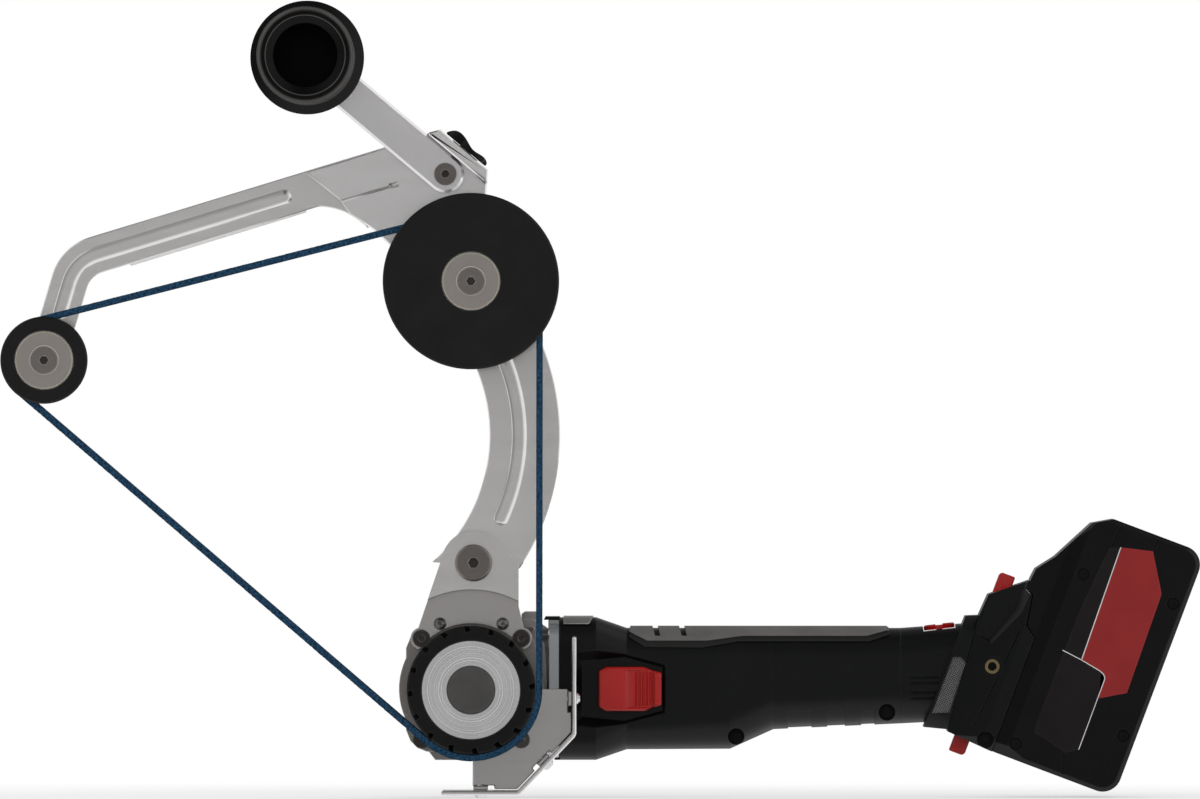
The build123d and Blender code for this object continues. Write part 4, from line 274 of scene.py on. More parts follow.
def grip_painted_light_and_shade():
    """Soft grip: one rubber, painted pale above the ridge line as painted light from above, and painted dark
    on the lip below it as painted shade.
    """
    # The pale rubber colour is painted light: the top of the grip made lighter where light from above falls.
    mat = plastic(
        "soft_rubber", (0.078, 0.075, 0.073), (0.096, 0.093, 0.09), (0.5, 0.62), 0.3, None, 0.00002)
    # Painted shade: the front-facing lip is made darker than the top of the grip.
    lip_painted_shade = (0.0085, 0.0083, 0.0081)
    lip_start, lip_full = -0.01, 0.03
    tree, shader, coord = opened(mat)
    place = axes(tree, coord)
    left, right = ridge_line[0][0], ridge_line[-1][0]

    def on_curve(x, z):
        """Place on the curve node, each part between 0 and 1."""
        return (x - left) / (right - left), (z - ridge_base) / ridge_range

    ridge = tree.nodes.new("ShaderNodeFloatCurve")
    points = ridge.mapping.curves[0].points
    for x, z in ridge_line[1:-1]:
        points.new(*on_curve(x, z))
    points[0].location = on_curve(*ridge_line[0])
    points[-1].location = on_curve(*ridge_line[-1])
    for point in points:
        point.handle_type = "VECTOR"
    ridge.mapping.update()
    along = span(tree, place["X"], 0.0, 1.0, drive.x + left * MM, drive.x + right * MM)
    tree.links.new(along, ridge.inputs["Value"])
    lowest = drive.z + ridge_base * MM
    highest = drive.z + (ridge_base + ridge_range) * MM
    height = span(tree, place["Z"], 0.0, 1.0, lowest, highest)
    below = combined(tree, "SUBTRACT", ridge.outputs["Value"], height)
    lip = span(tree, below, 0.0, 1.0, lip_start, lip_full)
    pale = feeding(shader, "Base Color")
    tree.links.new(mixed(tree, lip, pale, lip_painted_shade), shader.inputs["Base Color"])
    return mat


def grip_finish():
    """Grip rubber with a satin skin, a paler band near the rim as a painted highlight on its chamfer, and a
    matt, dark bore.
    """
    mat = plastic(
        "grip_rubber", (0.0016, 0.0016, 0.0015), (0.0026, 0.0025, 0.0025), (0.2, 0.26), 0.3, None, edge=0)
    band_painted_highlight = (0.065, 0.062, 0.059)
    bore_edge = (14.9 * MM, 15.4 * MM)
    band_inside = (20.5 * MM, 22.0 * MM)
    band_outside = (22.2 * MM, 22.6 * MM)
    glossier = (21.2 * MM, 21.9 * MM)
    tree, shader, coord = opened(mat)
    grip_middle, _ = round_part("handle_grip")
    radius = from_axis(tree, coord, grip_middle)
    tree.links.new(span(tree, radius, 0.1, 0.2, *glossier), shader.inputs["Specular IOR Level"])
    # Painted highlight: the band over the rim's chamfer is coloured paler than the rubber.
    inside = span(tree, radius, 0.0, 1.0, *band_inside)
    outside = span(tree, radius, 1.0, 0.0, *band_outside)
    band = combined(tree, "MULTIPLY", inside, outside)
    skin = feeding(shader, "Base Color")
    tree.links.new(mixed(tree, band, skin, band_painted_highlight), shader.inputs["Base Color"])
    bore = span(tree, radius, 1.0, 0.0, *bore_edge)
    satin = feeding(shader, "Roughness")
    tree.links.new(combined(tree, "MAXIMUM", satin, bore), shader.inputs["Roughness"])
    return mat


def joggled_steel_with_painted_shade():
    """Sheet steel whose set-back part below the joggle is painted darker as shade."""
    mat = metal(
        "bracket_steel", (0.69, 0.672, 0.662), (0.73, 0.712, 0.702), sheet_gloss, sheet_grain, brushed)
    # Painted shade: the plate set back below the joggle is made darker.
    set_back_painted_shade = (0.5, 0.481, 0.466)
    joggle_start, joggle_end = 0.8 * MM, 2.4 * MM
    tree, shader, coord = opened(mat)
    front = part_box("base_bracket")[0].y
    depth = axes(tree, coord)["Y"]
    behind = span(tree, depth, 0.0, 1.0, front + joggle_start, front + joggle_end)
    pale = feeding(shader, "Base Color")
    tree.links.new(mixed(tree, behind, pale, set_back_painted_shade), shader.inputs["Base Color"])
    return mat


def turned_finish():
    """Bare turned aluminium: clean metal whose rings are in the mesh."""
    mat, tree, shader, coord = node_tree("turned_aluminium")
    clouds = noise_node(tree, coord, 60.0)
    tree.links.new(ramp(tree, clouds, (0.7, 0.695, 0.7), (0.75, 0.745, 0.75)), shader.inputs["Base Color"])
    tree.links.new(span(tree, noise_node(tree, coord, 400.0), 0.12, 0.17), shader.inputs["Roughness"])
    shader.inputs["Metallic"].default_value = 0.9
    return mat


looks = {
    "die_cast": metal(
        "die_cast", (0.27, 0.262, 0.255), (0.34, 0.33, 0.32), (0.34, 0.46), 1600, wear_and_highlight_colour=(0.7, 0.69, 0.68),
        depth=0.000004),
    "collar_metal": metal(
        "collar_metal", (0.26, 0.247, 0.233), (0.31, 0.296, 0.28), satin_range, 700, wear_and_highlight_colour=(0.8, 0.78, 0.75)),
    "bare_aluminium": metal(
        "bare_aluminium", (0.78, 0.765, 0.775), (0.82, 0.805, 0.815), (0.1, 0.15), depth=smooth_relief,
        edge=0),
    "roller_aluminium": metal("roller_aluminium", (0.6, 0.6, 0.61), (0.68, 0.68, 0.69), (0.3, 0.42), 700),
    "black_plastic": plastic(
        "black_plastic", (0.0014, 0.0018, 0.0016), (0.002, 0.0024, 0.0022), satin_range, 0.22,
        (0.006, 0.0063, 0.0063)),
    "pack_plastic": plastic(
        "pack_plastic", (0.0013, 0.0013, 0.0015), (0.0018, 0.0018, 0.002), (0.26, 0.34), 0.2,
        (0.005, 0.005, 0.0053)),
    "soft_rubber": grip_painted_light_and_shade(),
    "grip_rubber": grip_finish(),
    "tyre_rubber": plastic(
        "tyre_rubber", (0.0018, 0.0018, 0.0017), (0.0028, 0.0027, 0.0027), (0.34, 0.46), 0.22, rubber_wear_and_highlight,
        0.00001),
    "red_plastic": plastic(
        "red_plastic", (0.235, 0.004, 0.003), (0.265, 0.006, 0.0045), (0.16, 0.22), 0.4, None, 0.000002, 0),
    "panel_red": plastic(
        "panel_red", (0.16, 0.0095, 0.01), (0.175, 0.0112, 0.0116), (0.34, 0.44), 0.25, (0.24, 0.025, 0.025)),
    "grey_plastic": plastic(
        "grey_plastic", (0.05, 0.049, 0.048), (0.065, 0.063, 0.062), satin_range, 0.4, (0.3, 0.3, 0.3)),
    "cap_plastic": plastic(
        "cap_plastic", (0.036, 0.035, 0.034), (0.045, 0.043, 0.042), (0.4, 0.52), 0.25, (0.08, 0.077, 0.075)),
    "disc_black": plastic(
        "disc_black", (0.004, 0.0039, 0.0038), (0.0054, 0.0053, 0.0052), (0.34, 0.44), 0.22, rubber_wear_and_highlight),
    "knob_black": plastic(
        "knob_black", (0.0035, 0.0035, 0.0035), (0.0048, 0.0048, 0.0048), (0.3, 0.4), 0.14, None, edge=0),
    "sheet_steel": sheet("sheet_steel", (0.73, 0.712, 0.702), (0.77, 0.752, 0.742)),
    "screw_steel": metal(
        "screw_steel", (0.055, 0.049, 0.045), (0.07, 0.063, 0.058), satin_range, 1500,
        wear_and_highlight_colour=(0.25, 0.23, 0.215)),
    "bright_steel": metal(
        "bright_steel", (0.68, 0.68, 0.69), (0.78, 0.78, 0.79), (0.16, 0.24), wear_and_highlight_colour=(0.95, 0.95, 0.95)),
    "machine_steel": metal("machine_steel", (0.55, 0.55, 0.55), (0.63, 0.63, 0.63), satin_range),
    "washer_metal": metal(
        "washer_metal", (0.33, 0.303, 0.282), (0.37, 0.34, 0.317), (0.3, 0.4), 1200, wear_and_highlight_colour=(0.75, 0.7, 0.5)),
    "mesh_metal": metal("mesh_metal", (0.19, 0.19, 0.187), (0.27, 0.27, 0.266), (0.35, 0.5), 1500),
    "brass": metal(
        "brass", (0.145, 0.11, 0.055), (0.19, 0.142, 0.073), satin_range, 1200, wear_and_highlight_colour=(0.55, 0.43, 0.22)),
    "motor_iron": metal("motor_iron", (0.12, 0.1, 0.09), (0.16, 0.14, 0.12), (0.5, 0.7)),
    "electronics": plastic(
        "electronics", (0.01, 0.07, 0.03), (0.015, 0.1, 0.045), (0.4, 0.6), 0.4, (0.03, 0.14, 0.07)),
    "cell_metal": plastic(
        "cell_metal", (0.1, 0.2, 0.35), (0.12, 0.24, 0.4), (0.3, 0.5), 0.4, (0.2, 0.32, 0.48)),
    "belt_blue": finish(
        "belt_blue", (0.0022, 0.01, 0.022), (0.014, 0.05, 0.098), (0.75, 0.95), grain=3000, depth=0.0002,
        edge=0.0002, gloss=0.15, cloud=900.0),
}


def screw_tone(name):
    """Dull steel of the larger screws on the arm."""
    return metal(
        name, (0.175, 0.158, 0.147), (0.215, 0.195, 0.182), satin_range, 1500, wear_and_highlight_colour=(0.6, 0.57, 0.54))


# Parts of one slot that differ in tone
own_tones = {
    "arm_screws": screw_tone("axle_screw"),
    "pivot_bolt": screw_tone("pivot_screw"),
    "pack_screws": metal("case_screw", (0.008, 0.008, 0.008), (0.012, 0.012, 0.012), (0.3, 0.42), 1500),
    "housing_screws": metal("well_screw", (0.006, 0.006, 0.006), (0.01, 0.01, 0.01), (0.3, 0.42), 1500),
    "gear_head_bolts": metal(
        "dome_screw", (0.09, 0.083, 0.078), (0.13, 0.121, 0.115), (0.14, 0.22), 1200, wear_and_highlight_colour=(0.8, 0.78, 0.76)),
    "motor_flange": metal(
        "flange_aluminium", (0.43, 0.445, 0.465), (0.47, 0.485, 0.505), (0.12, 0.17), depth=smooth_relief,
        edge=0),
    "base_bracket": joggled_steel_with_painted_shade(),
    "head_bracket": sheet("head_steel", (0.81, 0.795, 0.79), (0.85, 0.835, 0.83)),
    "cover_plate": plastic(
        "cover_grey", (0.1, 0.098, 0.095), (0.12, 0.117, 0.114), (0.16, 0.24), 0.5, (0.4, 0.39, 0.38)),
    "guard_plate": sheet("guard_steel", (0.585, 0.565, 0.553), (0.62, 0.6, 0.588)),
}
for node, slot in slot_of.items():
    nodes[node].data.materials.clear()
    nodes[node].data.materials.append(own_tones.get(node, looks[slot]))


# Helpers that make the new pieces

def new_piece(mesh, slot, body=None, look=None):
    """Object for a new mesh, with a look of its own or its slot's, riding on a body."""
    piece = bpy.data.objects.new(mesh.name, mesh)
    bpy.context.scene.collection.objects.link(piece)
    mesh.materials.append(look or looks[slot])
    if body:
        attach(piece, body)
    return piece


def mesh_from(name, points, faces, smooth=True):
    """Mesh from points and faces, with normals outwards."""
    mesh = bpy.data.meshes.new(name)
    mesh.from_pydata([tuple(p) for p in points], [], faces)
    build = bmesh.new()
    build.from_mesh(mesh)
    bmesh.ops.recalc_face_normals(build, faces=build.faces)
    build.to_mesh(mesh)
    build.free()
    for face in mesh.polygons:
        face.use_smooth = smooth
    return mesh


def tube_of(rings):
    """Points and faces of a closed skin over rings that meet end to start."""
    count = len(rings[0])
    points = [point for ring in rings for point in ring]
    faces = []
    for i in range(len(rings)):
        j = (i + 1) % len(rings)
        for k in range(count):
            m = (k + 1) % count
            faces.append((i * count + k, i * count + m, j * count + m, j * count + k))
    return points, faces


def spoke(angle):
    """Direction at an angle in the side view."""
    return Vector((math.cos(angle), 0, math.sin(angle)))


axis_y = sum(corner.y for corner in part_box("filter_mesh")) / 2


def beside_drive(x, z, depth):
    """World place from millimetres right of and above the drive, and the depth towards the viewer."""
    return Vector((drive.x + x * MM, axis_y - depth * MM, drive.z + z * MM))


def from_drive(place):
    """Millimetres right of and above the drive."""
    return (place.x - drive.x) / MM, (place.z - drive.z) / MM


def depth_of(y):
    """Millimetres from the motor's middle plane towards the viewer."""
    return (axis_y - y) / MM


def thin_plates(name, outlines, back, face):
    """Thin flat plates over outlines beside the drive, between two depths."""
    points, faces = [], []
    for outline in outlines:
        first = len(points)
        count = len(outline)
        points += [beside_drive(x, z, back) for x, z in outline]
        points += [beside_drive(x, z, face) for x, z in outline]
        faces.append(tuple(range(first, first + count)))
        faces.append(tuple(range(first + count, first + 2 * count)))
        for k in range(count):
            m = (k + 1) % count
            faces.append((first + k, first + m, first + count + m, first + count + k))
    return mesh_from(name, points, faces, False)


def wire_rings(name, rings):
    """Thin round rings that face the viewer, from the centre, radius and half thickness of each."""
    around, across = 120, 10
    points, faces = [], []
    for middle, radius, thick in rings:
        loops = []
        for step in range(around):
            side = spoke(2 * math.pi * step / around)
            loop = []
            for corner in range(across):
                lean = 2 * math.pi * corner / across
                out = side * (radius + thick * math.cos(lean))
                loop.append(middle + out + Vector((0, thick * math.sin(lean), 0)))
            loops.append(loop)
        ring_points, ring_faces = tube_of(loops)
        first = len(points)
        points += ring_points
        faces += [tuple(first + index for index in face) for face in ring_faces]
    return mesh_from(name, points, faces)


# Stamped, milled and moulded parts whose edges catch the light: the solids with their sharp edges rounded

sharp_angle = math.radians(38)
flat_angle = math.radians(1.5)
weld_distance = 0.002 * MM


def bevelled(node, width, segments):
    """Piece that stands for a CAD node, with its sharp edges bevelled or rounded."""
    build = bmesh.new()
    build.from_mesh(nodes[node].data)
    bmesh.ops.remove_doubles(build, verts=build.verts, dist=weld_distance)
    bmesh.ops.dissolve_limit(build, angle_limit=flat_angle, verts=build.verts, edges=build.edges)
    sharp = [edge for edge in build.edges if edge.is_manifold and edge.calc_face_angle() > sharp_angle]
    bmesh.ops.bevel(
        build, geom=sharp, offset=width, offset_type="OFFSET", segments=segments, profile=0.5,
        affect="EDGES", clamp_overlap=False)
    bmesh.ops.recalc_face_normals(build, faces=build.faces)
    mesh = bpy.data.meshes.new(node + "_bevelled")
    build.to_mesh(mesh)
    build.free()
    for face in mesh.polygons:
        face.use_smooth = True
    mesh.set_sharp_from_angle(angle=sharp_angle)
    piece = new_piece(mesh, slot_of[node], body_of[node], nodes[node].data.materials[0])
    even = piece.modifiers.new("even_flats", "WEIGHTED_NORMAL")
    even.weight = 100
    even.keep_sharp = True
    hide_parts(node)


sheet_bevels = {
    "head_bracket": 0.8 * MM,
    "reach_arm": 0.5 * MM,
    "curved_arm": 0.5 * MM,
    "guard_plate": 0.4 * MM,
    "guard_strip": 0.6 * MM,
    "motor_flange": 0.5 * MM,
}
moulded_edges = {
    "release_button_upper": 0.7 * MM,
    "release_button_lower": 0.7 * MM,
    "slide_switch": 0.4 * MM,
    "clamp_knob": 0.6 * MM,
}
for node, width in sheet_bevels.items():
    bevelled(node, width, 1)
for node, width in moulded_edges.items():
    bevelled(node, width, 3)


# Abrasive belt: a thick nonwoven loop with a rough face and frayed edges, round the drive and the arm's
# rollers

belt_thickness = 3.0 * MM
belt_gap = 0.3 * MM
belt_step = 0.8 * MM


def belt_path():
    """Points of the belt's inner line in the side view, with the outward direction at each."""
    fewest_steps = 8
    wheels = [
        (Vector((middle.x, 0, middle.z)), radius + belt_gap)
        for middle, radius in ((drive, drive_radius), (top, top_radius), (tip, tip_radius))
    ]
    angles = []
    for index, (middle, radius) in enumerate(wheels):
        next_middle, next_radius = wheels[(index + 1) % len(wheels)]
        away = next_middle - middle
        heading = math.atan2(away.z, away.x)
        angles.append(heading - math.acos((radius - next_radius) / away.length))
    line = []
    for index, (middle, radius) in enumerate(wheels):
        next_middle, next_radius = wheels[(index + 1) % len(wheels)]
        arrive = angles[index - 1]
        wrap = (angles[index] - arrive) % (2 * math.pi)
        turns = max(fewest_steps, int(wrap * radius / belt_step))
        for part in range(turns):
            out = spoke(arrive + wrap * part / turns)
            line.append((middle + out * radius, out))
        out = spoke(angles[index])
        first = middle + out * radius
        last = next_middle + out * next_radius
        runs = int((last - first).length / belt_step)
        for part in range(runs):
            line.append((first.lerp(last, part / runs), out))
    return line


def belt_section():
    """Places round the belt's section: share of the width, share of the thickness."""
    face_steps, edge_steps, back_steps = 26, 4, 8
    outer = [(part / face_steps, 1.0) for part in range(face_steps)]
    edge_far = [(1.0, 1.0 - part / edge_steps) for part in range(edge_steps)]
    inner = [(1.0 - part / back_steps, 0.0) for part in range(back_steps)]
    edge_near = [(0.0, part / edge_steps) for part in range(edge_steps)]
    return outer + edge_far + inner + edge_near


def make_belt():
    """Belt mesh with coarse fibre relief on its face and along its edges."""
    coarse, fine = 1.1 * MM, 0.45 * MM
    fine_share = 0.7
    fibre_depth = 0.45 * MM
    fray_size, fray_depth = 0.9 * MM, 0.5 * MM
    fray_offset = Vector((7, 3, 1))
    section = belt_section()
    rings = []
    for place, out in belt_path():
        ring = []
        for across, rise in section:
            spot = place + out * (belt_thickness * rise)
            spot.y = belt_low.y + (belt_high.y - belt_low.y) * across
            rough = noise.noise(spot / coarse) + fine_share * noise.noise(spot / fine)
            if rise > 0:
                spot -= out * (abs(rough) * fibre_depth * rise)
            if across in (0.0, 1.0):
                fray = noise.noise(spot / fray_size + fray_offset)
                inward = 1 if across == 0 else -1
                spot.y += inward * abs(fray) * fray_depth
            ring.append(spot)
        rings.append(ring)
    points, faces = tube_of(rings)
    return mesh_from("belt", points, faces)


belt = new_piece(make_belt(), "belt_blue")
belt.visible_glossy = False
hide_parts("abrasive_belt")
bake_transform(belt)


# Drive hub: turned face with fine rings round the cap

def turned(name, centre, profile):
    """Mesh turned about the spindle direction from pairs of depth and radius."""
    steps = 160
    rings = []
    for step in range(steps):
        side = spoke(2 * math.pi * step / steps)
        rings.append([Vector((centre.x, depth, centre.z)) + side * radius for depth, radius in profile])
    points, faces = tube_of(rings)
    return mesh_from(name, points, faces, False)


def make_hub():
    """Hub with a bevelled cap seat and uneven concentric tool marks on its face."""
    low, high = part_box("drive_hub")
    cap_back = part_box("drive_cap")[1].y
    _, cap_radius = round_part("drive_cap")
    _, radius = round_part("drive_hub")
    shaft = 7.0 * MM
    seat_bevel = 0.5 * MM
    rim_bevel = 0.3 * MM
    rim_margin, seat_margin = 1.2 * MM, 1.3 * MM
    mark_half_width = 0.19 * MM
    mark_depth, depth_change = 0.055 * MM, 0.05 * MM
    mark_pitch, pitch_change = 1.05 * MM, 0.45 * MM
    noise_row = (3.7, 0.2)
    profile = [(cap_back, shaft), (high.y, shaft), (high.y, radius), (low.y + rim_bevel, radius)]
    profile.append((low.y, radius - rim_bevel))
    at = radius - rim_margin
    while at > cap_radius + seat_bevel + seat_margin:
        uneven = noise.noise(Vector((at / MM, *noise_row)))
        bottom = low.y + mark_depth + depth_change * uneven
        profile += [(low.y, at + mark_half_width), (bottom, at), (low.y, at - mark_half_width)]
        at -= mark_pitch + pitch_change * uneven
    profile += [(low.y, cap_radius + seat_bevel), (low.y + seat_bevel, cap_radius), (cap_back, cap_radius)]
    return turned("drive_hub_turned", drive, profile)


hub = new_piece(make_hub(), "bare_aluminium", "drive_roller", turned_finish())
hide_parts("drive_hub")


# Dust filter: woven wire in both windows of the band

tilt = math.radians(20.66)


def on_pack(reach, rise, depth):
    """World place from the pack's tilted axes in millimetres, and the depth towards the viewer."""
    x = reach * math.cos(tilt) + rise * math.sin(tilt)
    z = rise * math.cos(tilt) - reach * math.sin(tilt)
    return beside_drive(x, z, depth)


def clip_line(outline, start, heading):
    """Ends of a line inside a convex outline, as distances along it."""
    parallel = 1e-9
    shortest = 0.4
    least, most = -math.inf, math.inf
    for index, corner in enumerate(outline):
        following = outline[(index + 1) % len(outline)]
        edge = following - corner
        inward = Vector((-edge.y, edge.x))
        rate = heading.dot(inward)
        room = (start - corner).dot(inward)
        if abs(rate) < parallel:
            if room < 0:
                return None
        elif rate > 0:
            least = max(least, -room / rate)
        else:
            most = min(most, -room / rate)
    return (least, most) if most - least > shortest else None


def make_weave():
    """Two layers of crossing wires that pass over and under each other."""
    corners = ((206.3, 65.6), (214.2, 68.6), (213.2, 93.0), (210.4, 95.4), (206.3, 94.0))
    outline = [Vector(corner) for corner in corners]
    window_middle = Vector((210.2, 81.0))
    pitch = 0.8
    wire = 0.2
    crimp = 0.8
    sides = 5
    wires_each_way = 28
    frame_face, proud = 29.2, 0.45
    points, faces = [], []
    for direction, sign in ((Vector((1, 1)).normalized(), 1), (Vector((1, -1)).normalized(), -1)):
        across = Vector((-direction.y, direction.x))
        for index in range(-wires_each_way, wires_each_way + 1):
            start = window_middle + across * (index * pitch)
            ends = clip_line(outline, start, direction)
            if ends is None:
                continue
            count = max(2, int((ends[1] - ends[0]) / (pitch / 2)))
            for face_side in (1, -1):
                first = len(points)
                for part in range(count + 1):
                    along = ends[0] + (ends[1] - ends[0]) * part / count
                    flat = start + direction * along
                    wave = math.cos(math.pi * (along / pitch + index)) * wire * crimp * sign
                    for corner in range(sides):
                        angle = 2 * math.pi * corner / sides
                        off = flat + across * (wire * math.cos(angle))
                        depth = frame_face + proud + wave + wire * math.sin(angle)
                        points.append(on_pack(off.x, off.y, face_side * depth))
                for part in range(count):
                    for corner in range(sides):
                        a = first + part * sides + corner
                        b = first + part * sides + (corner + 1) % sides
                        faces.append((a, b, b + sides, a + sides))
                faces.append(tuple(range(first, first + sides)))
                faces.append(tuple(range(first + count * sides, first + (count + 1) * sides)))
    return mesh_from("filter_weave", points, faces)


weave = new_piece(make_weave(), "mesh_metal", "tool")
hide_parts("filter_mesh")


# Battery pack: dark label field with thin pale border lines, left without words

def stripe(line, width):
    """Outline of a stripe of even width along a line of points."""
    left, right = [], []
    for index, point in enumerate(line):
        before = Vector(line[max(index - 1, 0)])
        after = Vector(line[min(index + 1, len(line) - 1)])
        along = (after - before).normalized()
        across = Vector((-along.y, along.x)) * width / 2
        left.append(Vector(point) + across)
        right.append(Vector(point) - across)
    return left + right[::-1]


pack_face = depth_of(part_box("pack_case_near")[0].y)
field_back, field_face = pack_face - 0.05, pack_face + 0.1
label_field = [
    (300.0, 66.5), (305.2, 66.5), (286.7, 14.0), (295.4, 8.4), (296.8, 7.1), (297.4, 5.6), (297.2, 4.3),
    (285.1, -28.5), (279.0, -29.9), (264.5, -20.5), (265.2, -15.9), (285.5, 36.6), (296.8, 60.9),
]
label_film = plastic(
    "label_film", (0.0052, 0.004, 0.0042), (0.0066, 0.005, 0.0052), (0.34, 0.44), 0.18, (0.02, 0.018, 0.018))
field_mesh = thin_plates("pack_label_field", [label_field], field_back, field_face)
new_piece(field_mesh, "pack_plastic", "battery_pack", label_film)

line_back, line_face = pack_face + 0.02, pack_face + 0.16
panel_edge = [(305.0, 66.6), (286.7, 14.2)]
panel_edge_width = 0.45
lower_edge = [
    (277.6, 18.3), (286.5, 13.7), (295.2, 8.5), (296.8, 7.0), (297.5, 5.4), (297.2, 4.0), (285.2, -28.4),
]
lower_edge_width = 0.4
border_lines = [stripe(panel_edge, panel_edge_width), stripe(lower_edge, lower_edge_width)]
label_line = plastic("label_line", (0.4, 0.39, 0.38), (0.47, 0.46, 0.45), (0.4, 0.5), 0.3, None, edge=0)
line_mesh = thin_plates("pack_label_lines", border_lines, line_back, line_face)
new_piece(line_mesh, "grey_plastic", "battery_pack", label_line)


# Shaded floors of the hexagon sockets in the screw heads

socket_shade = plastic(
    "socket_shade", (0.018, 0.016, 0.015), (0.028, 0.025, 0.024), (0.4, 0.5), 0.2, None, edge=0)


def socket_floor(name, middles, radius, floor_depth, body):
    """Dark plates on the floors of sockets that share one depth."""
    sunk, proud = 0.05, 0.15
    turns = [k * math.pi / 3 for k in range(6)]
    hexagon = [(radius * math.cos(turn), radius * math.sin(turn)) for turn in turns]
    outlines = [[(x + across, z + up) for across, up in hexagon] for x, z in middles]
    plates = thin_plates(name, outlines, floor_depth - sunk, floor_depth + proud)
    new_piece(plates, "screw_steel", body, socket_shade)


hub_screw_face = depth_of(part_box("arm_screws")[0].y)
hub_socket_depth, hub_socket_radius = 1.2, 2.05
socket_floor(
    "hub_sockets", [from_drive(top), from_drive(tip)], hub_socket_radius, hub_screw_face - hub_socket_depth,
    "belt_arm")

# The handle's pivot screw is the one of the arm's screws that stands above the rollers
above_rollers = top.z + 20 * MM
handle_screw = [vert.co for vert in nodes["arm_screws"].data.vertices if vert.co.z > above_rollers]
handle_screw_low = Vector([min(axis) for axis in zip(*handle_screw)])
handle_screw_high = Vector([max(axis) for axis in zip(*handle_screw)])
handle_pivot = from_drive((handle_screw_low + handle_screw_high) / 2)
handle_screw_face = depth_of(handle_screw_low.y)
handle_socket_depth, handle_socket_radius = 1.0, 1.9
socket_floor(
    "handle_socket", [handle_pivot], handle_socket_radius, handle_screw_face - handle_socket_depth,
    "belt_arm")

bolt_middle, _ = round_part("pivot_bolt")
bolt_face = depth_of(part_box("pivot_bolt")[0].y)
bolt_socket_depth, bolt_socket_radius = 2.0, 2.5
socket_floor(
    "pivot_socket", [from_drive(bolt_middle)], bolt_socket_radius, bolt_face - bolt_socket_depth, "tool")


# Rolled beads of the arm: rounded ribs over the pressed ridges of the two sheets

def swung(flat, angle):
    """Flat vector turned by an angle."""
    return Vector((
        flat.x * math.cos(angle) - flat.y * math.sin(angle),
        flat.x * math.sin(angle) + flat.y * math.cos(angle),
    ))


def rounded_corner(start, corner, end, radius):
    """Points and headings along two runs joined by an arc."""
    arc_steps = 16
    first = (corner - start).normalized()
    second = (end - corner).normalized()
    turn = math.atan2(first.cross(second), first.dot(second))
    cut = radius * abs(math.tan(turn / 2))
    inside = Vector((-first.y, first.x)) * math.copysign(1, turn)
    centre = corner - first * cut + inside * radius
    line = [(start, first)]
    for part in range(arc_steps + 1):
        angle = turn * part / arc_steps
        line.append((centre + swung(-inside * radius, angle), swung(first, angle)))
    line.append((end, second))
    return line


def rib_mesh(name, line):
    """Rounded rib with dome ends along a line of points and headings, standing on the arm's face."""
    half_width = 3.75
    height = 1.65
    sunk = 0.1
    sides = 16
    dome_steps = 6
    short_of_tip = 0.5
    crease = math.radians(50)

    def dome(end, way):
        """Places of a dome's rings, from the rib outwards."""
        point, heading = end
        rings = []
        for part in range(1, dome_steps + 1):
            lean = math.radians(90 / dome_steps * part - short_of_tip)
            rings.append((point + heading * (way * half_width * math.sin(lean)), heading, math.cos(lean)))
        return rings

    places = dome(line[0], -1)[::-1]
    places += [(point, heading, 1.0) for point, heading in line]
    places += dome(line[-1], 1)
    points, faces = [], []
    for point, heading, scale in places:
        across = Vector((-heading.y, heading.x))
        for side in range(sides + 1):
            angle = math.pi * side / sides
            spot = point + across * (half_width * scale * math.cos(angle))
            rise = (height + sunk) * scale * math.sin(angle)
            points.append(beside_drive(spot.x, spot.y, arm_face - sunk + rise))
    count = sides + 1
    for i in range(len(places) - 1):
        here, there = i * count, (i + 1) * count
        for k in range(sides):
            faces.append((here + k, here + k + 1, there + k + 1, there + k))
        faces.append((here + sides, here, there, there + sides))
    faces.append(tuple(range(count)))
    faces.append(tuple(range((len(places) - 1) * count, len(places) * count)))
    mesh = mesh_from(name, points, faces)
    mesh.set_sharp_from_angle(angle=crease)
    return mesh


arm_face = 37.3
bow_centre = Vector((-71.1155, 119.3706))
bow_radius = 93.6
bow_start, bow_end = -24.613, 27.366
bow_steps = 40
bow_line = []
for part in range(bow_steps + 1):
    angle = math.radians(bow_start + (bow_end - bow_start) * part / bow_steps)
    out = Vector((math.cos(angle), math.sin(angle)))
    bow_line.append((bow_centre + out * bow_radius, Vector((-out.y, out.x))))
new_piece(rib_mesh("curved_arm_bead", bow_line), "sheet_steel", "belt_arm")

reach_tip = Vector((-192.94, 177.4))
reach_corner = Vector((-185.9, 201.0))
reach_end = Vector((-87.825, 230.913))
reach_corner_radius = 19.3
reach_line = rounded_corner(reach_tip, reach_corner, reach_end, reach_corner_radius)
new_piece(rib_mesh("reach_arm_bead", reach_line), "sheet_steel", "belt_arm")


# Handle grip: two moulded beads round its open end, coloured paler than the grip as painted highlights

grip_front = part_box("handle_grip")[0].y
grip_axis, _ = round_part("handle_grip")
bead_thickness = 0.38 * MM
bead_places = ((22.35 * MM, 1.85 * MM), (18.75 * MM, 0.4 * MM))
grip_rings = [
    (Vector((grip_axis.x, grip_front + behind, grip_axis.z)), radius, bead_thickness)
    for radius, behind in bead_places
]
# Painted highlight: the beads are coloured much paler than the grip's rubber.
bead_painted_highlight = plastic(
    "bead_painted_highlight", (0.024, 0.023, 0.022), (0.034, 0.033, 0.032), (0.14, 0.2), 0.6, None, edge=0)
new_piece(wire_rings("grip_beads", grip_rings), "grip_rubber", "handle", bead_painted_highlight)


# Rims of the hub washers and of their screws: thin pale rings as painted highlights

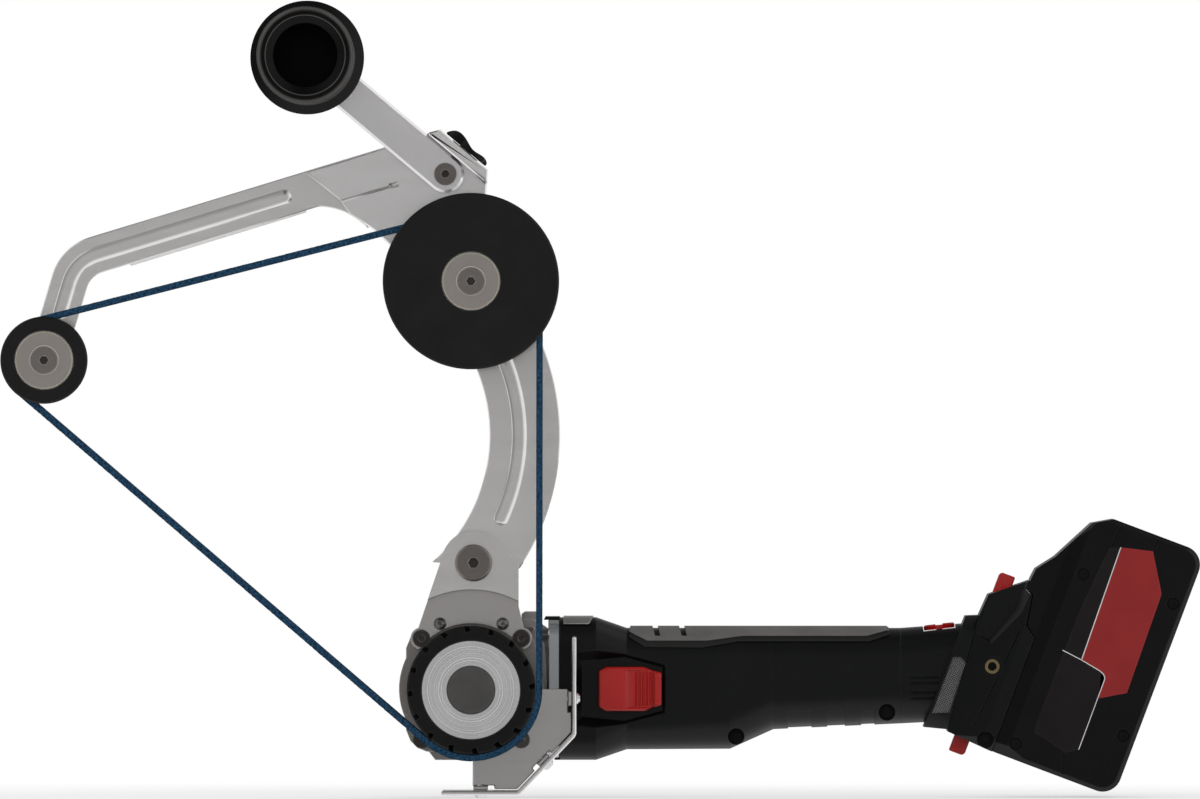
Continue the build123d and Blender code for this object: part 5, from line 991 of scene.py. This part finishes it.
washers_low, washers_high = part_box("hub_washers")
hub_middles = [Vector((roller.x, washers_low.y, roller.z)) for roller in (top, tip)]
screw_rim_radius, screw_rim_thickness = 6.75 * MM, 0.22 * MM
washer_rim_inset, washer_rim_thickness = 0.4 * MM, 0.2 * MM
washer_rim_radius = washers_high.z - top.z - washer_rim_inset
# Painted highlights: pale, non-metal steel and brass colours on the thin rims.
rim_highlight_steel = plastic(
    "rim_highlight_steel", (0.36, 0.345, 0.325), (0.42, 0.405, 0.385), (0.3, 0.4), 0.5, None, edge=0)
rim_highlight_brass = plastic(
    "rim_highlight_brass", (0.24, 0.218, 0.168), (0.28, 0.256, 0.2), (0.3, 0.4), 0.5, None, edge=0)
screw_rims = [(middle, screw_rim_radius, screw_rim_thickness) for middle in hub_middles]
new_piece(wire_rings("hub_screw_rims", screw_rims), "washer_metal", "belt_arm", rim_highlight_steel)
washer_rims = [(middle, washer_rim_radius, washer_rim_thickness) for middle in hub_middles]
new_piece(wire_rings("hub_washer_rims", washer_rims), "washer_metal", "belt_arm", rim_highlight_brass)


# Stage: pale floor and a white surround

def blend_value(tree, factor, first, second):
    """One value or another by a factor; each may be a number or a socket."""
    mix = tree.nodes.new("ShaderNodeMix")
    tree.links.new(factor, mix.inputs["Factor"])
    for socket, value in zip(mix.inputs[2:4], (first, second)):
        if isinstance(value, float):
            socket.default_value = value
        else:
            tree.links.new(value, socket)
    return mix.outputs["Result"]


def lit_background():
    """White surround in the camera, grey fill, and a studio of its own for reflections.

    Reflections see a grey front and back, white sides with a dark top, and light from the lower right
    between them.
    """
    fill = 0.45
    front_grey = 0.38
    front_start, front_full = 0.7, 0.93
    side_full, side_end = 0.15, 0.4
    slant_start, slant_full = -0.5, 0.5
    dimmest_slant = 0.22
    dark_top = 0.1
    top_start, top_full = 0.85, 0.95
    world = bpy.data.worlds.new("studio")
    bpy.context.scene.world = world
    world.use_nodes = True
    world.cycles.sampling_method = "NONE"
    tree = world.node_tree
    path = tree.nodes.new("ShaderNodeLightPath")
    direction = tree.nodes.new("ShaderNodeTexCoord")
    parts = axes(tree, direction.outputs["Generated"])
    absolute = tree.nodes.new("ShaderNodeMath")
    absolute.operation = "ABSOLUTE"
    tree.links.new(parts["Y"], absolute.inputs[0])
    frontal = absolute.outputs["Value"]
    lower_right = combined(tree, "SUBTRACT", parts["X"], parts["Z"])
    slanting = span(tree, lower_right, dimmest_slant, 1.0, slant_start, slant_full)
    around = span(tree, parts["Z"], 1.0, dark_top, top_start, top_full)
    off_sides = span(tree, frontal, 0.0, 1.0, side_full, side_end)
    off_slant = span(tree, frontal, 0.0, 1.0, front_start, front_full)
    mirrored = blend_value(tree, off_sides, around, slanting)
    mirrored = blend_value(tree, off_slant, mirrored, front_grey)
    light = blend_value(tree, path.outputs["Is Glossy Ray"], fill, mirrored)
    light = blend_value(tree, path.outputs["Is Transmission Ray"], light, 1.0)
    light = blend_value(tree, path.outputs["Is Camera Ray"], light, 1.0)
    background = tree.nodes["Background"]
    background.inputs["Color"].default_value = (1, 1, 1, 1)
    tree.links.new(light, background.inputs["Strength"])


def floor_look():
    """Pale matt floor that keeps the shadow and fades into the white surround for the camera."""
    fade_start, fade_end = 0.3, 0.62
    least_white = 0.55
    mat, tree, shader, coord = node_tree("pale_floor")
    clouds = noise_node(tree, coord, 3.0)
    tree.links.new(ramp(tree, clouds, (0.86, 0.86, 0.86), (0.9, 0.9, 0.9)), shader.inputs["Base Color"])
    shader.inputs["Roughness"].default_value = 0.9
    shader.inputs["Specular IOR Level"].default_value = 0.1
    white = tree.nodes.new("ShaderNodeEmission")
    white.inputs["Strength"].default_value = 1.0
    distance = tree.nodes.new("ShaderNodeVectorMath")
    distance.operation = "LENGTH"
    tree.links.new(coord, distance.inputs[0])
    fade = span(tree, distance.outputs["Value"], least_white, 1.0, fade_start, fade_end)
    path = tree.nodes.new("ShaderNodeLightPath")
    seen = combined(tree, "MULTIPLY", fade, path.outputs["Is Camera Ray"])
    both = tree.nodes.new("ShaderNodeMixShader")
    tree.links.new(seen, both.inputs["Fac"])
    tree.links.new(shader.outputs["BSDF"], both.inputs[1])
    tree.links.new(white.outputs["Emission"], both.inputs[2])
    tree.links.new(both.outputs["Shader"], tree.nodes["Material Output"].inputs["Surface"])
    return mat


lit_background()
floor_mesh = bpy.data.meshes.new("floor")
floor_reach = 0.65
floor_corners = [(x * floor_reach, y * floor_reach, 0) for x, y in ((-1, -1), (1, -1), (1, 1), (-1, 1))]
floor_mesh.from_pydata(floor_corners, [], [(0, 1, 2, 3)])
floor = bpy.data.objects.new("floor", floor_mesh)
bpy.context.scene.collection.objects.link(floor)
floor_mesh.materials.append(floor_look())
floor.visible_glossy = False


def area_light(name, place, size, power):
    """Soft rectangular lamp aimed at the object, left out of reflections."""
    object_middle = Vector((0.0, 0.0, 0.19))
    data = bpy.data.lights.new(name, "AREA")
    data.shape = "RECTANGLE"
    data.size, data.size_y = size
    data.energy = power
    lamp = bpy.data.objects.new(name, data)
    lamp.location = place
    lamp.rotation_euler = (object_middle - Vector(place)).to_track_quat("-Z", "Y").to_euler()
    lamp.visible_glossy = False
    bpy.context.scene.collection.objects.link(lamp)


area_light("key", (-0.7, -1.1, 1.2), (0.9, 0.7), 5)
area_light("side", (1.2, -0.7, 0.8), (0.6, 0.9), 3)
area_light("back", (0.2, 1.2, 1.0), (1.0, 0.6), 8)
area_light("front", (-0.5, -6.0, 1.0), (4.0, 3.0), 240)

# Camera: the photograph is a square-on side view, so the lens is long and far away
photo_width = 1200
mm_per_pixel = 0.468
view_width = photo_width * mm_per_pixel * MM
lens = 900.0
sensor = 36.0
centre_right_of_drive = 60.4 * MM
centre_above_drive = 136.0 * MM
camera_data = bpy.data.cameras.new("camera")
camera_data.lens = lens
camera_data.sensor_width = sensor
camera_data.clip_end = 100.0
camera = bpy.data.objects.new("camera", camera_data)
camera.location = (
    drive.x + centre_right_of_drive,
    belt_low.y - view_width * lens / sensor,
    drive.z + centre_above_drive,
)
camera.rotation_euler = (math.pi / 2, 0, 0)
bpy.context.scene.collection.objects.link(camera)
bpy.context.scene.camera = camera
bpy.context.scene.view_settings.view_transform = "Standard"
